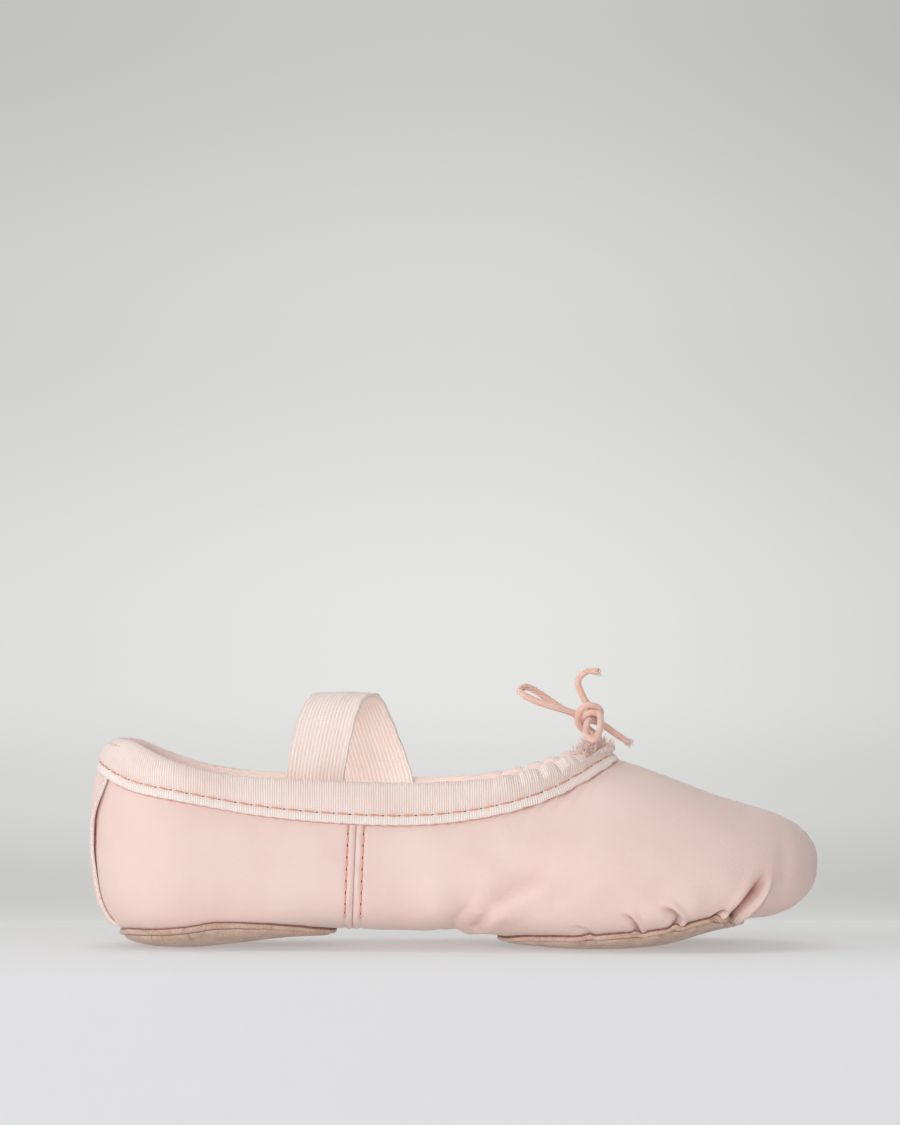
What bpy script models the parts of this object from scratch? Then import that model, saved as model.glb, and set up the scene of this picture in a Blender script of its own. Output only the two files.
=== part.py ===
"""A child's leather ballet slipper, standing on its split suede sole.

+X points to the toe, +Y to the slipper's left side and +Z up. The origin is on the floor, under the
middle of the slipper's length and width. Every length below is in millimetres, and becomes metres
when a mesh is made.

The upper is one smooth body. Its outer leather face is described by its widest outline seen from
above, the height of that outline, a keel under it and a ridge over it. Linings, soles and socks are
sheets at a set distance from that face. The casing tape runs round the opening, between a lower
line that lies on the leather and a top line where the tape folds over.
"""

import math

import bmesh
import bpy
import numpy as np

MM = 0.001

# Thicknesses of the materials, and the air left between pieces that touch.
LEATHER = 0.9
LINING = 0.5
SUEDE = 1.5
SOCK = 0.8
TAPE = 0.7
GAP = 0.3
THREAD_RADIUS = 0.25
STACK = LEATHER + 1.5 * GAP + LINING

# The body's outline seen from above: a heel arc, a nearly straight waist and a toe arc.
TOE_TIP_X = 87.5
HEEL_X = -62.0
HEEL_LONG = 24.3
HEEL_WIDE = 23.0
TOE_X = 46.0
TOE_LONG = TOE_TIP_X - TOE_X
TOE_ROUND = 2.2
TIP_FROM_X = 70.0
TIP_ROUND = 2.5
SIDE_ROUND = 2.15
RIDGE_EASE = 3.0
SOLE_ROUND = 2.7
HEEL_BACK_ROUND = 3.7

# The opening: the tape's lower line and its top line, each a heel arc, a side and a front arc.
FRONT_X = 6.0
LOWER_HEEL_LONG = 22.3
LOWER_HEEL_WIDE = 21.2
LOWER_FRONT_LONG = 33.6
LOWER_FRONT_WIDE = 20.6
TOP_HEEL_LONG = 20.8
TOP_HEEL_WIDE = 19.8
TOP_FRONT_LONG = 29.5
TOP_FRONT_WIDE = 18.4

# Seams and soles along X.
SIDE_SEAM_X = -23.5
SEAM_ROW = 1.9
HEEL_SOLE = (-53.9, 25.4, 17.3, 2.5)
FOREFOOT_SOLE = (39.6, 28.8, 23.2, 2.5)
HEEL_SOCK = (-54.0, 27.0, 16.5, 2.4)
FOREFOOT_SOCK = (36.0, 30.0, 20.5, 2.4)

# The elastic strap, and the cord that draws the opening in.
STRAP_WIDE_RIGHT = 13.3
STRAP_WIDE_LEFT = 17.0
STRAP_THICK = 1.0
STRAP_PATH = (
    [(-32.9, -15.0, 41.0), (-31.9, -15.0, 47.5), (-30.4, -13.8, 53.8), (-28.4, -9.0, 58.9)]
    + [(-25.9, 0.0, 60.2), (-24.4, 8.2, 59.1), (-22.5, 13.4, 54.0), (-20.3, 15.0, 47.5)]
    + [(-18.3, 15.0, 41.0)]
)
STRAP_TAB_LONG = 8.0
STRAP_TAB_LEAN = 0.28
STRAP_END_DROPS = (0.35, 0.62, 0.85, 0.97)
CORD_RADIUS = 0.8
EXIT_AT = 0.955


def spline(points):
    """A function that runs smoothly through the (x, value) points, and is level past its ends."""
    x, y = np.array(points, float).T
    step, last = np.diff(x), len(x) - 1
    rows, right = np.eye(last + 1), np.zeros(last + 1)
    for i in range(1, last):
        rows[i, i - 1 : i + 2] = step[i - 1], 2 * (step[i - 1] + step[i]), step[i]
        right[i] = 6 * ((y[i + 1] - y[i]) / step[i] - (y[i] - y[i - 1]) / step[i - 1])
    bend = np.linalg.solve(rows, right)

    def value(at):
        at = np.clip(at, x[0], x[-1])
        i = np.clip(np.searchsorted(x, at) - 1, 0, last - 1)
        after, before = at - x[i], x[i + 1] - at
        curved = (bend[i] * before**3 + bend[i + 1] * after**3) / (6 * step[i])
        low = (y[i] / step[i] - bend[i] * step[i] / 6) * before
        high = (y[i + 1] / step[i] - bend[i + 1] * step[i] / 6) * after
        return curved + low + high

    return value


waist = spline([(-62, 23.0), (-40, 23.1), (-15, 23.5), (10, 26.2), (30, 29.2), (46, 30.0)])
belt = spline([(-62, 20), (-35, 17), (-10, 15.5), (20, 14), (50, 14), (70, 17), (87.5, 19.8)])
keel_line = spline(
    [(-62, 1.7), (-50, 2.9), (-38, 4.2), (-15, 4.0), (2, 3.6), (12, 2.9), (24, 1.7), (44, 1.7)]
    + [(52, 2.9), (58, 4.7), (64, 6.2), (72, 7.2), (87.5, 9.0)]
)
ridge_line = spline(
    [(39.6, 44.7), (46.3, 42.5), (57.4, 38.4), (67.3, 34.8), (76, 32.7), (82, 31.6), (87.5, 30.2)]
)
fullness = spline(
    [(-86, 34.5), (-62, 34.9), (-40, 33.5), (-23.5, 31.0), (6, 26.3), (20, 26.3), (33, 27.6)]
    + [(42, 28.2), (48, 27.4), (57.4, 23.7), (67.3, 18.8), (76, 14.8), (87.5, 10.4)]
)
lower_height = spline(
    [(-85.2, 42.3), (-79.2, 38.9), (-68.9, 36.2), (-49.5, 32.6), (-26.3, 30.2), (-9, 29.8)]
    + [(6, 31.3), (17.3, 33.9), (26.6, 37.4), (33.4, 41.0), (39.6, 44.7)]
)
top_height = spline(
    [(-83, 50.3), (-78, 49.6), (-73.4, 47.9), (-66.9, 45.3), (-53.5, 42.0), (-39.8, 41.0)]
    + [(-26, 40.3), (-9, 40.0), (6.4, 40.6), (17, 42.4), (25, 44.8), (31, 47.2), (35.5, 49.2)]
)
lower_side = spline([(-62, 21.2), (-40, 21.4), (-20, 21.3), (6, 20.6)])
top_side = spline([(-62, 19.8), (-40, 19.6), (-20, 19.2), (6, 18.4)])


def rounding(share, power):
    """1 at the middle and 0 at the edge, along a rounded curve."""
    return np.clip(1 - np.clip(share, 0, 1) ** power, 0, 1) ** (1 / power)


def half_width(x):
    """How far the body's widest outline is from its middle."""
    toe = 30.0 * rounding((x - TOE_X) / TOE_LONG, TOE_ROUND)
    return np.where(x > TOE_X, toe, waist(x))


def tip(x):
    return rounding((x - TIP_FROM_X) / (TOE_TIP_X - TIP_FROM_X), TIP_ROUND)


def heel_angle(x, y):
    """0 at the heel's sides and 1 at its back."""
    back = np.maximum(HEEL_X - x, 0) / HEEL_LONG
    return np.arctan2(back, np.abs(y) / HEEL_WIDE) / (math.pi / 2)


def share_of(x, y):
    """0 on the middle line and 1 on the widest outline."""
    heel = np.hypot((x - HEEL_X) / HEEL_LONG, y / HEEL_WIDE)
    return np.where(x < HEEL_X, heel, np.abs(y) / np.maximum(half_width(x), 1e-6))


def belt_at(x, y):
    """The height of the widest outline, which is higher round the back of the heel."""
    return belt(x) + 9.5 * heel_angle(x, y) ** 1.5


def under(x, y):
    """The height of the body's underside."""
    middle = belt_at(x, y)
    power = SOLE_ROUND + (HEEL_BACK_ROUND - SOLE_ROUND) * heel_angle(x, y)
    drop = (middle - keel_line(x)) * tip(x)
    return middle - drop * rounding(share_of(x, y), power)


def over(x, y):
    """The height of the closed vamp: an even round over the widest outline, brought to the ridge line."""
    middle = belt(x)
    share = share_of(x, y)
    climb = np.arccos(np.clip(share, 0, 1)) / (math.pi / 2)
    even = fullness(x) * rounding(share, SIDE_ROUND)
    left_over = ridge_line(x) - middle - fullness(x)
    return middle + (even + left_over * climb**RIDGE_EASE) * tip(x)


def opening(long_heel, wide_heel, side, long_front, wide_front, height):
    """A function that gives a line round one side of the opening, from the back (0) to the front (1)."""

    def point(at):
        if at < 0.3:
            turn = math.pi / 2 * (1 - at / 0.3)
            x, y = HEEL_X - long_heel * math.sin(turn), wide_heel * math.cos(turn)
        elif at < 0.65:
            x = HEEL_X + (FRONT_X - HEEL_X) * (at - 0.3) / 0.35
            y = float(side(x))
        else:
            turn = math.pi / 2 * (1 - (at - 0.65) / 0.35)
            x, y = FRONT_X + long_front * math.cos(turn), wide_front * math.sin(turn)
        return np.array((x, y, float(height(x))))

    return point


lower_line = opening(
    LOWER_HEEL_LONG, LOWER_HEEL_WIDE, lower_side, LOWER_FRONT_LONG, LOWER_FRONT_WIDE, lower_height
)
top_line = opening(
    TOP_HEEL_LONG, TOP_HEEL_WIDE, top_side, TOP_FRONT_LONG, TOP_FRONT_WIDE, top_height
)
SEAM_AT = 0.3 + 0.35 * (SIDE_SEAM_X - HEEL_X) / (FRONT_X - HEEL_X)


def wall(at, climb):
    """A point of an open section's wall. climb is 0 on the widest outline and 1 on the tape's lower line."""
    end = lower_line(at)
    x, y = end[0], end[1]
    if at < 0.3:
        turn = math.pi / 2 * (1 - at / 0.3)
        start = np.array((HEEL_X, 0.0))
        edge = np.array((HEEL_X - HEEL_LONG * math.sin(turn), HEEL_WIDE * math.cos(turn)))
    else:
        start, edge = np.array((x, 0.0)), np.array((x, float(half_width(x))))
    full = float(np.linalg.norm(edge - start))
    last = float(np.linalg.norm(np.array((x, y)) - start)) / full
    middle = float(belt_at(edge[0], edge[1]))
    full_rise = float(fullness(edge[0]))
    left_over = end[2] - middle - full_rise * float(rounding(last, SIDE_ROUND))
    share = math.cos(climb * math.acos(last))
    place = start + share * (edge - start)
    rise = full_rise * float(rounding(share, SIDE_ROUND)) + left_over * climb**RIDGE_EASE
    return np.array((place[0], place[1], middle + rise))


def belly(x_or_turn, inward, toe=False, heel=False):
    """A point of the underside. inward is 1 on the widest outline and 0 on the middle line."""
    if heel:
        x = HEEL_X - HEEL_LONG * math.sin(x_or_turn) * inward
        y = HEEL_WIDE * math.cos(x_or_turn) * inward
    elif toe:
        x = TOE_X + TOE_LONG * math.cos(x_or_turn) ** (2 / TOE_ROUND) * inward
        y = 30.0 * math.sin(x_or_turn) ** (2 / TOE_ROUND) * inward
    else:
        x, y = x_or_turn, float(half_width(x_or_turn)) * inward
    return np.array((x, y, float(under(x, y))))


def crown(x_or_turn, inward, toe=False):
    """A point of the closed vamp, as belly does for the underside."""
    place = belly(x_or_turn, inward, toe)
    place[2] = float(over(place[0], place[1]))
    return place


def leather_edge(x):
    """How near the middle line the leather reaches under the foot: it meets itself in the arch."""
    heel = np.clip((-32.0 - x) / 12.0, 0, 1)
    ball = np.clip((x - 16.0) / 12.0, 0, 1)
    under_sole = np.maximum(heel, ball)
    return 0.012 + 0.5 * under_sole * under_sole * (3 - 2 * under_sole)


def lining_edge(x):
    return 0.012


def section(at, edge=leather_edge, collar=(0.22, 0.45), low_rows=7, wall_rows=5):
    """One open section, from the lower edge under the foot up to the top edge inside the tape."""
    end = lower_line(at)
    heel = at < 0.3
    along = math.pi / 2 * (1 - at / 0.3) if heel else end[0]
    first = math.asin(float(edge(end[0] if not heel else HEEL_X)))
    rows = [belly(along, math.sin(t), heel=heel) for t in np.linspace(first, math.pi / 2, low_rows)]
    rows += [wall(at, climb) for climb in np.linspace(0, 1, wall_rows)[1:]]
    up = top_line(at) - end
    return rows + [end + share * up for share in collar]


def closed_section(x_or_turn, toe, edge=leather_edge, low_rows=7, wall_rows=5):
    """One section of the closed vamp, from the lower edge under the foot up to the ridge."""
    first = math.asin(float(edge(TOE_X if toe else x_or_turn)))
    turns = np.linspace(first, math.pi / 2, low_rows)
    rows = [belly(x_or_turn, math.sin(t), toe) for t in turns]
    climbs = np.linspace(0, math.pi / 2, wall_rows)[1:]
    return rows + [crown(x_or_turn, math.cos(c), toe) for c in climbs]


def mirrored(rows):
    return [np.array((p[0], -p[1], p[2])) for p in rows]


def material(name, colour, roughness):
    found = bpy.data.materials.get(name)
    if found:
        return found
    made = bpy.data.materials.new(name)
    made.use_nodes = True
    shader = made.node_tree.nodes["Principled BSDF"]
    shader.inputs["Base Color"].default_value = (*colour, 1)
    shader.inputs["Roughness"].default_value = roughness
    return made


LOOKS = {
    "pink_leather": ((0.83, 0.66, 0.61), 0.5),
    "cotton_lining": ((0.80, 0.70, 0.64), 0.9),
    "suede": ((0.45, 0.30, 0.22), 0.95),
    "casing_tape": ((0.84, 0.68, 0.62), 0.85),
    "elastic": ((0.88, 0.72, 0.64), 0.8),
    "cord": ((0.78, 0.52, 0.42), 0.6),
    "thread": ((0.75, 0.42, 0.28), 0.6),
}


def add(name, data, look):
    """A new object in the scene, with one of the looks."""
    obj = bpy.data.objects.new(name, data)
    bpy.context.scene.collection.objects.link(obj)
    data.materials.append(material(look, *LOOKS[look]))
    return obj


def skin(columns):
    """A mesh over columns of points. Columns may differ in length, and shared points are welded."""
    shape = bmesh.new()
    grid = [[shape.verts.new([float(c) * MM for c in p]) for p in column] for column in columns]
    for left, right in zip(grid, grid[1:]):
        for i in range(min(len(left), len(right)) - 1):
            shape.faces.new((left[i], right[i], right[i + 1], left[i + 1]))
    bmesh.ops.remove_doubles(shape, verts=shape.verts, dist=0.02 * MM)
    bmesh.ops.dissolve_degenerate(shape, edges=shape.edges, dist=0.005 * MM)
    mesh = bpy.data.meshes.new("shape")
    shape.to_mesh(mesh)
    shape.free()
    return mesh


def sheet(name, columns, distance, thick, look):
    """A piece of even thickness over columns of points, set off them by a distance along the normal."""
    obj = add(name, skin(columns), look)
    if distance:
        shift = obj.modifiers.new("set_off", "DISPLACE")
        shift.strength = distance * MM
        shift.mid_level = 0.0
    solid = obj.modifiers.new("thickness", "SOLIDIFY")
    solid.thickness = abs(thick) * MM
    solid.offset = math.copysign(1, thick)
    solid.use_even_offset = True
    return obj


def underside_point(x, y, off):
    """The point at a distance outside the underside, below (x, y)."""
    step = 0.05
    slope_x = (under(x + step, y) - under(x - step, y)) / (2 * step)
    slope_y = (under(x, y + step) - under(x, y - step)) / (2 * step)
    out = np.array((float(slope_x), float(slope_y), -1.0))
    return np.array((x, y, float(under(x, y)))) + off * out / np.linalg.norm(out)


def pad_edge(turn, pad):
    """A point of a sole's or sock's outline, as a superellipse."""
    centre, long, wide, power = pad
    c, s = math.cos(turn), math.sin(turn)
    x = math.copysign(abs(c) ** (2 / power), c)
    y = math.copysign(abs(s) ** (2 / power), s)
    return centre + long * x, wide * y


def pad_piece(name, pad, near, far, rim, look, floor=None):
    """A flat piece that follows the underside between two distances, thinner at its rim."""
    turns = np.linspace(0, 2 * math.pi, 41)[:-1]
    shares = [0.3, 0.55, 0.78, 0.92, 1.0]
    faces = []
    for off, edge_off in ((near, near), (far, rim)):
        rings = []
        for share in shares:
            off_here = edge_off if share == 1.0 else off
            ring = []
            for turn in turns:
                x, y = pad_edge(turn, pad)
                point = underside_point(pad[0] + (x - pad[0]) * share, y * share, off_here)
                if floor is not None and off == far:
                    point[2] = max(point[2], floor)
                ring.append(point)
            rings.append(ring)
        middle = underside_point(pad[0], 0.0, off)
        if floor is not None and off == far:
            middle[2] = max(middle[2], floor)
        faces.append((middle, rings))
    shape = bmesh.new()
    layers = []
    for middle, rings in faces:
        layers.append(
            (
                shape.verts.new([float(c) * MM for c in middle]),
                [[shape.verts.new([float(c) * MM for c in p]) for p in ring] for ring in rings],
            )
        )
    count = len(turns)
    for middle, rings in layers:
        for i in range(count):
            j = (i + 1) % count
            shape.faces.new((middle, rings[0][i], rings[0][j]))
            for low, high in zip(rings, rings[1:]):
                shape.faces.new((low[i], high[i], high[j], low[j]))
    first, second = layers[0][1][-1], layers[1][1][-1]
    for i in range(count):
        j = (i + 1) % count
        shape.faces.new((first[i], second[i], second[j], first[j]))
    bmesh.ops.recalc_face_normals(shape, faces=shape.faces)
    mesh = bpy.data.meshes.new("pad")
    shape.to_mesh(mesh)
    shape.free()
    return add(name, mesh, look)


def tube(name, points, radius, look):
    """A plain cord or thread along points, with filled ends."""
    line = bpy.data.curves.new(name, "CURVE")
    line.dimensions = "3D"
    line.bevel_depth = radius * MM
    line.bevel_resolution = 1 if radius > 0.5 else 0
    line.use_fill_caps = True
    run = line.splines.new("POLY")
    run.points.add(len(points) - 1)
    for spot, place in zip(run.points, points, strict=True):
        spot.co = (*[float(c) * MM for c in place], 1)
    return add(name, line, look)


def eased(points, count):
    """Points evenly spaced along a smooth curve through hand-placed points."""
    points = np.array(points, float)
    along = np.concatenate([[0], np.cumsum(np.linalg.norm(np.diff(points, axis=0), axis=1))])
    lines = [spline(list(zip(along, points[:, k]))) for k in range(3)]
    at = np.linspace(0, along[-1], count)
    return np.stack([line(at) for line in lines], axis=1)


def frame_at(at):
    """The tape's own frame at a place round the opening: lower point, outward and upward directions, height."""
    low, high = lower_line(at), top_line(at)
    ahead = min(at + 0.01, 1.0)
    behind = max(at - 0.01, 0.0)
    along = (lower_line(ahead) + top_line(ahead)) - (lower_line(behind) + top_line(behind))
    if at < 0.01:
        along = np.array((0.0, 1.0, 0.0))
    if at > 0.99:
        along = np.array((0.0, -1.0, 0.0))
    up = (high - low) / np.linalg.norm(high - low)
    out = np.cross(up, along)
    return low, out / np.linalg.norm(out), up, float(np.linalg.norm(high - low))


def in_frame(at, out, up):
    low, outward, upward, _ = frame_at(at)
    return low + out * outward + up * upward


def clear_scene():
    for old in list(bpy.data.objects):
        bpy.data.objects.remove(old)


HEEL_STOPS = list(np.linspace(0.0, 0.3, 9))
SIDE_STOPS = [0.33, 0.36, 0.39, 0.42, 0.45, 0.475]
FRONT_SIDE_STOPS = [0.54, 0.59, 0.65]
FRONT_STOPS = list(0.65 + 0.35 * np.array([0.14, 0.28, 0.42, 0.56, 0.7, 0.84, 1.0]))
SEAM_HALF = 0.15 / (FRONT_X - HEEL_X) * 0.35
BACK_HALF = 0.0013
TOE_TURNS = list(np.linspace(math.pi / 2, 0, 11)[1:])


def front_columns(edge, collar):
    """Sections from the right side seam, round the toe, to the left side seam."""
    stops = [SEAM_AT + SEAM_HALF, *FRONT_SIDE_STOPS, *FRONT_STOPS]
    side = [section(at, edge, collar) for at in stops]
    side.append(closed_section(TOE_X, False, edge))
    toe = [closed_section(turn, True, edge) for turn in TOE_TURNS]
    half = [*side, *toe[:-1]]
    return [mirrored(rows) for rows in half] + [toe[-1]] + half[::-1]


def back_columns(edge, collar, start=0.0):
    """Sections of the left side, from the side seam back to the middle of the heel."""
    stops = [start, *HEEL_STOPS[1:], *SIDE_STOPS, SEAM_AT - SEAM_HALF]
    return [section(at, edge, collar) for at in stops[::-1]]


def make_upper():
    collar = (0.22, 0.45)
    sheet("vamp", front_columns(leather_edge, collar), 0, -LEATHER, "pink_leather")
    left = back_columns(leather_edge, collar, BACK_HALF)
    sheet("quarter_left", left, 0, -LEATHER, "pink_leather")
    right = [mirrored(rows) for rows in left[::-1]]
    sheet("quarter_right", right, 0, -LEATHER, "pink_leather")
    inside = -(LEATHER + 1.5 * GAP)
    sheet("vamp_lining", front_columns(lining_edge, collar), inside, -LINING, "cotton_lining")
    left = back_columns(lining_edge, collar)
    lining = left + [mirrored(rows) for rows in left[:-1][::-1]]
    sheet("quarter_lining", lining, inside, -LINING, "cotton_lining")


def make_backstay():
    """The strip over the back seam, from under the tape down to the heel sole."""
    columns = []
    for at in np.linspace(-0.055, 0.055, 5)[::-1]:
        rows = section(abs(at), collar=())[2:]
        columns.append(mirrored(rows) if at < 0 else rows)
    sheet("backstay", [rows[:-1] for rows in columns], GAP, LEATHER, "pink_leather")


def make_binding():
    """The casing tape folded over the opening, with the drawstring in its fold and its row of stitches."""
    stops = [*HEEL_STOPS, *SIDE_STOPS, SEAM_AT, *FRONT_SIDE_STOPS, *FRONT_STOPS[:-2], 0.93, EXIT_AT]
    half_gap = (STACK + 2 * GAP) / 2
    middle = GAP - half_gap
    rows_by_stop = []
    for at in stops:
        fold = frame_at(at)[3] - TAPE - half_gap
        rows = [in_frame(at, GAP, up) for up in (0.0, 0.35 * fold, 0.7 * fold)]
        for turn in np.linspace(0, math.pi, 6):
            rows.append(in_frame(at, middle + half_gap * math.cos(turn), fold + half_gap * math.sin(turn)))
        rows += [in_frame(at, middle - half_gap, up) for up in (0.6 * fold, 1.5)]
        rows_by_stop.append(rows)
    columns = rows_by_stop[::-1] + [mirrored(rows) for rows in rows_by_stop[1:]]
    sheet("binding", columns, 0, TAPE, "casing_tape")

    def ring(stops_used, out, share, drop):
        line = [in_frame(at, out, share * (frame_at(at)[3]) - drop) for at in stops_used]
        return line[::-1] + mirrored(line[1:])

    fine = list(np.linspace(0, EXIT_AT - 0.01, 40))
    tube("drawstring", ring(fine, middle, 1.0, TAPE + half_gap), CORD_RADIUS, "cord")
    tube("topline_thread", ring(fine, GAP + TAPE + 0.6, 0.28, 0.0), THREAD_RADIUS, "thread")


def make_side_threads():
    """The two rows of stitches beside each side seam, joined below as one thread."""
    across = SEAM_ROW * 0.35 / (FRONT_X - HEEL_X)
    for name, flip in (("side_thread_left", False), ("side_thread_right", True)):
        rows = []
        for at in (SEAM_AT - across, SEAM_AT + across):
            column = section(at, collar=(), low_rows=13, wall_rows=9)[5:-1]
            out = []
            for point in column:
                height = (point[2] - 14.0) / 16.0
                lean = np.array((0.0, 1.0, float(np.clip(height, -1.2, 0.4))))
                out.append(point + 0.75 * lean / np.linalg.norm(lean))
            rows.append(out)
        line = rows[0][::-1] + rows[1]
        tube(name, mirrored(line) if flip else line, THREAD_RADIUS, "thread")


def make_soles():
    far = GAP + SUEDE
    pad_piece("forefoot_sole", FOREFOOT_SOLE, GAP + 0.1, far, GAP + 0.9, "suede", 0.0)
    pad_piece("heel_sole", HEEL_SOLE, GAP + 0.1, far, GAP + 0.9, "suede", 0.0)
    inside = -(STACK + GAP + 0.2)
    top = inside - SOCK
    pad_piece("forefoot_sock", FOREFOOT_SOCK, inside, top, top + 0.3, "cotton_lining")
    pad_piece("heel_sock", HEEL_SOCK, inside, top, top + 0.3, "cotton_lining")


def make_strap():
    """The elastic band with rounded ends where it turns, and its two sewn ends below them."""
    path = eased(STRAP_PATH, 23)
    run = np.array((STRAP_PATH[-1][0] - STRAP_PATH[0][0], 30.0, 0.0))
    across_top = np.cross(run / np.linalg.norm(run), (0, 0, 1))
    columns = []
    for i, point in enumerate(path):
        share = i / (len(path) - 1)
        level = math.sin(math.pi * share) ** 2
        across = (1 - level) * np.array((1.0, 0.0, 0.0)) + level * across_top
        half = (STRAP_WIDE_RIGHT + share * (STRAP_WIDE_LEFT - STRAP_WIDE_RIGHT)) / 2
        columns.append((point, across / np.linalg.norm(across), half))
    ends = []
    for end in (0, -1):
        half = columns[end][2]
        ends.append(
            [
                (path[end] - np.array((0, 0, half * d)), np.array((1.0, 0, 0)), half * math.sqrt(1 - d * d))
                for d in STRAP_END_DROPS
            ]
        )
    stations = ends[0][::-1] + columns + ends[1]
    strips = []
    for point, across, wide in stations:
        strips.append([point + across * wide * s for s in (1, 0.5, 0, -0.5, -1)])
    obj = add("strap", skin(strips), "elastic")
    solid = obj.modifiers.new("thickness", "SOLIDIFY")
    solid.thickness = STRAP_THICK * MM
    solid.offset = 0.0
    for name, end, side in (("strap_end_right", 0, -1), ("strap_end_left", -1, 1)):
        x, y, z = path[end]
        half = columns[end][2]
        top = z - half - GAP
        rows = []
        for drop in (0, STRAP_TAB_LONG / 2, STRAP_TAB_LONG):
            spread = (-half, 0, half) if side < 0 else (half, 0, -half)
            outward = side * (0.5 + STRAP_TAB_LEAN * drop)
            rows.append([np.array((x + dx, y + outward, top - drop)) for dx in spread])
        columns_of_tab = [list(column) for column in zip(*rows[::-1])]
        sheet(name, columns_of_tab, 0, -STRAP_THICK, "elastic")


def make_bow():
    """The tied cord: two stems up from the tape's ends, a knot, two loops and two free ends."""
    knot = (32.6, 0.0, 55.2)
    shape = bmesh.new()
    bmesh.ops.create_uvsphere(shape, u_segments=14, v_segments=9, radius=1.0)
    mesh = bpy.data.meshes.new("knot")
    shape.to_mesh(mesh)
    shape.free()
    lump = add("bow_knot", mesh, "cord")
    lump.scale = (2.8 * MM, 2.5 * MM, 2.9 * MM)
    lump.location = [c * MM for c in knot]
    runs = {
        "bow_stem_right": [(34.6, -3.4, 49.9), (34.0, -2.6, 50.7), (33.3, -1.5, 51.4), (32.9, -1.1, 52.2)],
        "bow_stem_left": [(34.6, 3.4, 49.9), (34.0, 2.6, 50.7), (33.3, 1.5, 51.4), (32.9, 1.1, 52.2)],
        "bow_rear_loop": [(29.5, 1.3, 55.6), (26.6, 2.0, 56.7), (24.4, 2.6, 58.1), (21.6, 2.8, 60.0)]
        + [(18.9, 2.0, 61.7), (16.9, 0.6, 62.1), (16.0, -0.9, 61.3), (17.6, -2.2, 59.9)]
        + [(21.0, -2.6, 58.4), (25.2, -2.3, 57.1), (29.3, -1.6, 55.5)],
        "bow_front_loop": [(34.5, -2.4, 56.0), (35.1, -4.6, 55.4), (35.2, -7.2, 53.7), (34.7, -9.6, 51.4)]
        + [(33.4, -10.6, 49.8), (32.0, -10.0, 50.4), (31.7, -8.0, 52.2), (32.1, -5.4, 53.6)]
        + [(32.5, -3.0, 54.2)],
        "bow_end_up": [(32.0, 0.6, 58.5), (30.7, 1.2, 61.0), (30.0, 1.4, 63.0), (30.8, 1.2, 64.9)]
        + [(32.4, 0.9, 65.9), (34.7, 0.7, 65.8)],
        "bow_end_forward": [(35.4, 1.6, 53.4), (37.6, 2.2, 51.9), (39.6, 2.5, 50.5), (42.3, 2.8, 48.7)],
    }
    for name, points in runs.items():
        count = 8 if len(points) < 5 else 20
        tube(name, eased(points, count), CORD_RADIUS, "cord")


clear_scene()
make_upper()
make_backstay()
make_binding()
make_side_threads()
make_soles()
make_strap()
make_bow()
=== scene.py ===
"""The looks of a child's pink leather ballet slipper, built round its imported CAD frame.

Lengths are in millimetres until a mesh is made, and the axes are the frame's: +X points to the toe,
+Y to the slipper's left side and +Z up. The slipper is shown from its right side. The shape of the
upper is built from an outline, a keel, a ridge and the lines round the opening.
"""

import math

import bmesh
import bpy
import numpy as np
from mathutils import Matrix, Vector, kdtree, noise


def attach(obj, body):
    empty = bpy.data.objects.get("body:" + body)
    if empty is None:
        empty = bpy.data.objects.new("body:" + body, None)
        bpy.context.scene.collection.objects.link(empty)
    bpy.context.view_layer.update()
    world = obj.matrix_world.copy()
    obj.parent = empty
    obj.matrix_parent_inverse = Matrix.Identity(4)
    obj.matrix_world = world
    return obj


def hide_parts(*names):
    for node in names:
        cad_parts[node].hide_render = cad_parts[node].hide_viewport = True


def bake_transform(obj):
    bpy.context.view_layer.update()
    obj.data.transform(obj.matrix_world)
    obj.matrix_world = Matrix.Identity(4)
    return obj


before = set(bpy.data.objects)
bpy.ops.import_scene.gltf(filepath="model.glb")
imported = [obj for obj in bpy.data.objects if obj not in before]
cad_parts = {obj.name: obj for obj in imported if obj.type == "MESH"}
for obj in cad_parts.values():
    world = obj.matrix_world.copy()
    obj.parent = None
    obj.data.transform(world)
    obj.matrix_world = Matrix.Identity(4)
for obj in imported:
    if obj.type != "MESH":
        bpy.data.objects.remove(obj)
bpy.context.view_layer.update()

MM = 0.001

# ---------------------------------------------------------------- sizes
LEATHER = 0.9
LINING = 0.5
GAP = 0.3
LINING_IN = LEATHER + 1.5 * GAP
STACK = LINING_IN + LINING
TAPE = 0.7
SUEDE = 1.5

TOE_TIP_X = 87.5
HEEL_X = -62.0
HEEL_LONG = 24.3
HEEL_WIDE = 23.0
TOE_X = 46.0
TOE_LONG = TOE_TIP_X - TOE_X
TOE_WIDE = 30.0
TOE_ROUND = 2.2
TIP_FROM_X = 70.0
TIP_ROUND = 2.5
SIDE_ROUND = 2.15
RIDGE_EASE = 3.0
SOLE_ROUND = 2.7
HEEL_BACK_ROUND = 3.7
FRONT_X = 6.0
LOWER_ARCS = (22.3, 21.2, 33.6, 20.6)
TOP_ARCS = (20.8, 19.8, 29.5, 18.4)
SIDE_SEAM_X = -23.5
SEAM_ROW = 1.85
FOREFOOT_SOLE = (39.6, 28.8, 23.2, 2.5)
HEEL_SOLE = (-53.9, 25.4, 17.3, 2.5)
FOREFOOT_SOCK = (36.0, 30.0, 20.5, 2.4)
HEEL_SOCK = (-54.0, 27.0, 16.5, 2.4)
STRAP_THICK = 1.0
CORD_THICK = 1.6
RIB_PITCH = 0.56
STITCH_UP = 2.4
TAPE_INSIDE = 11.5


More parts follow.
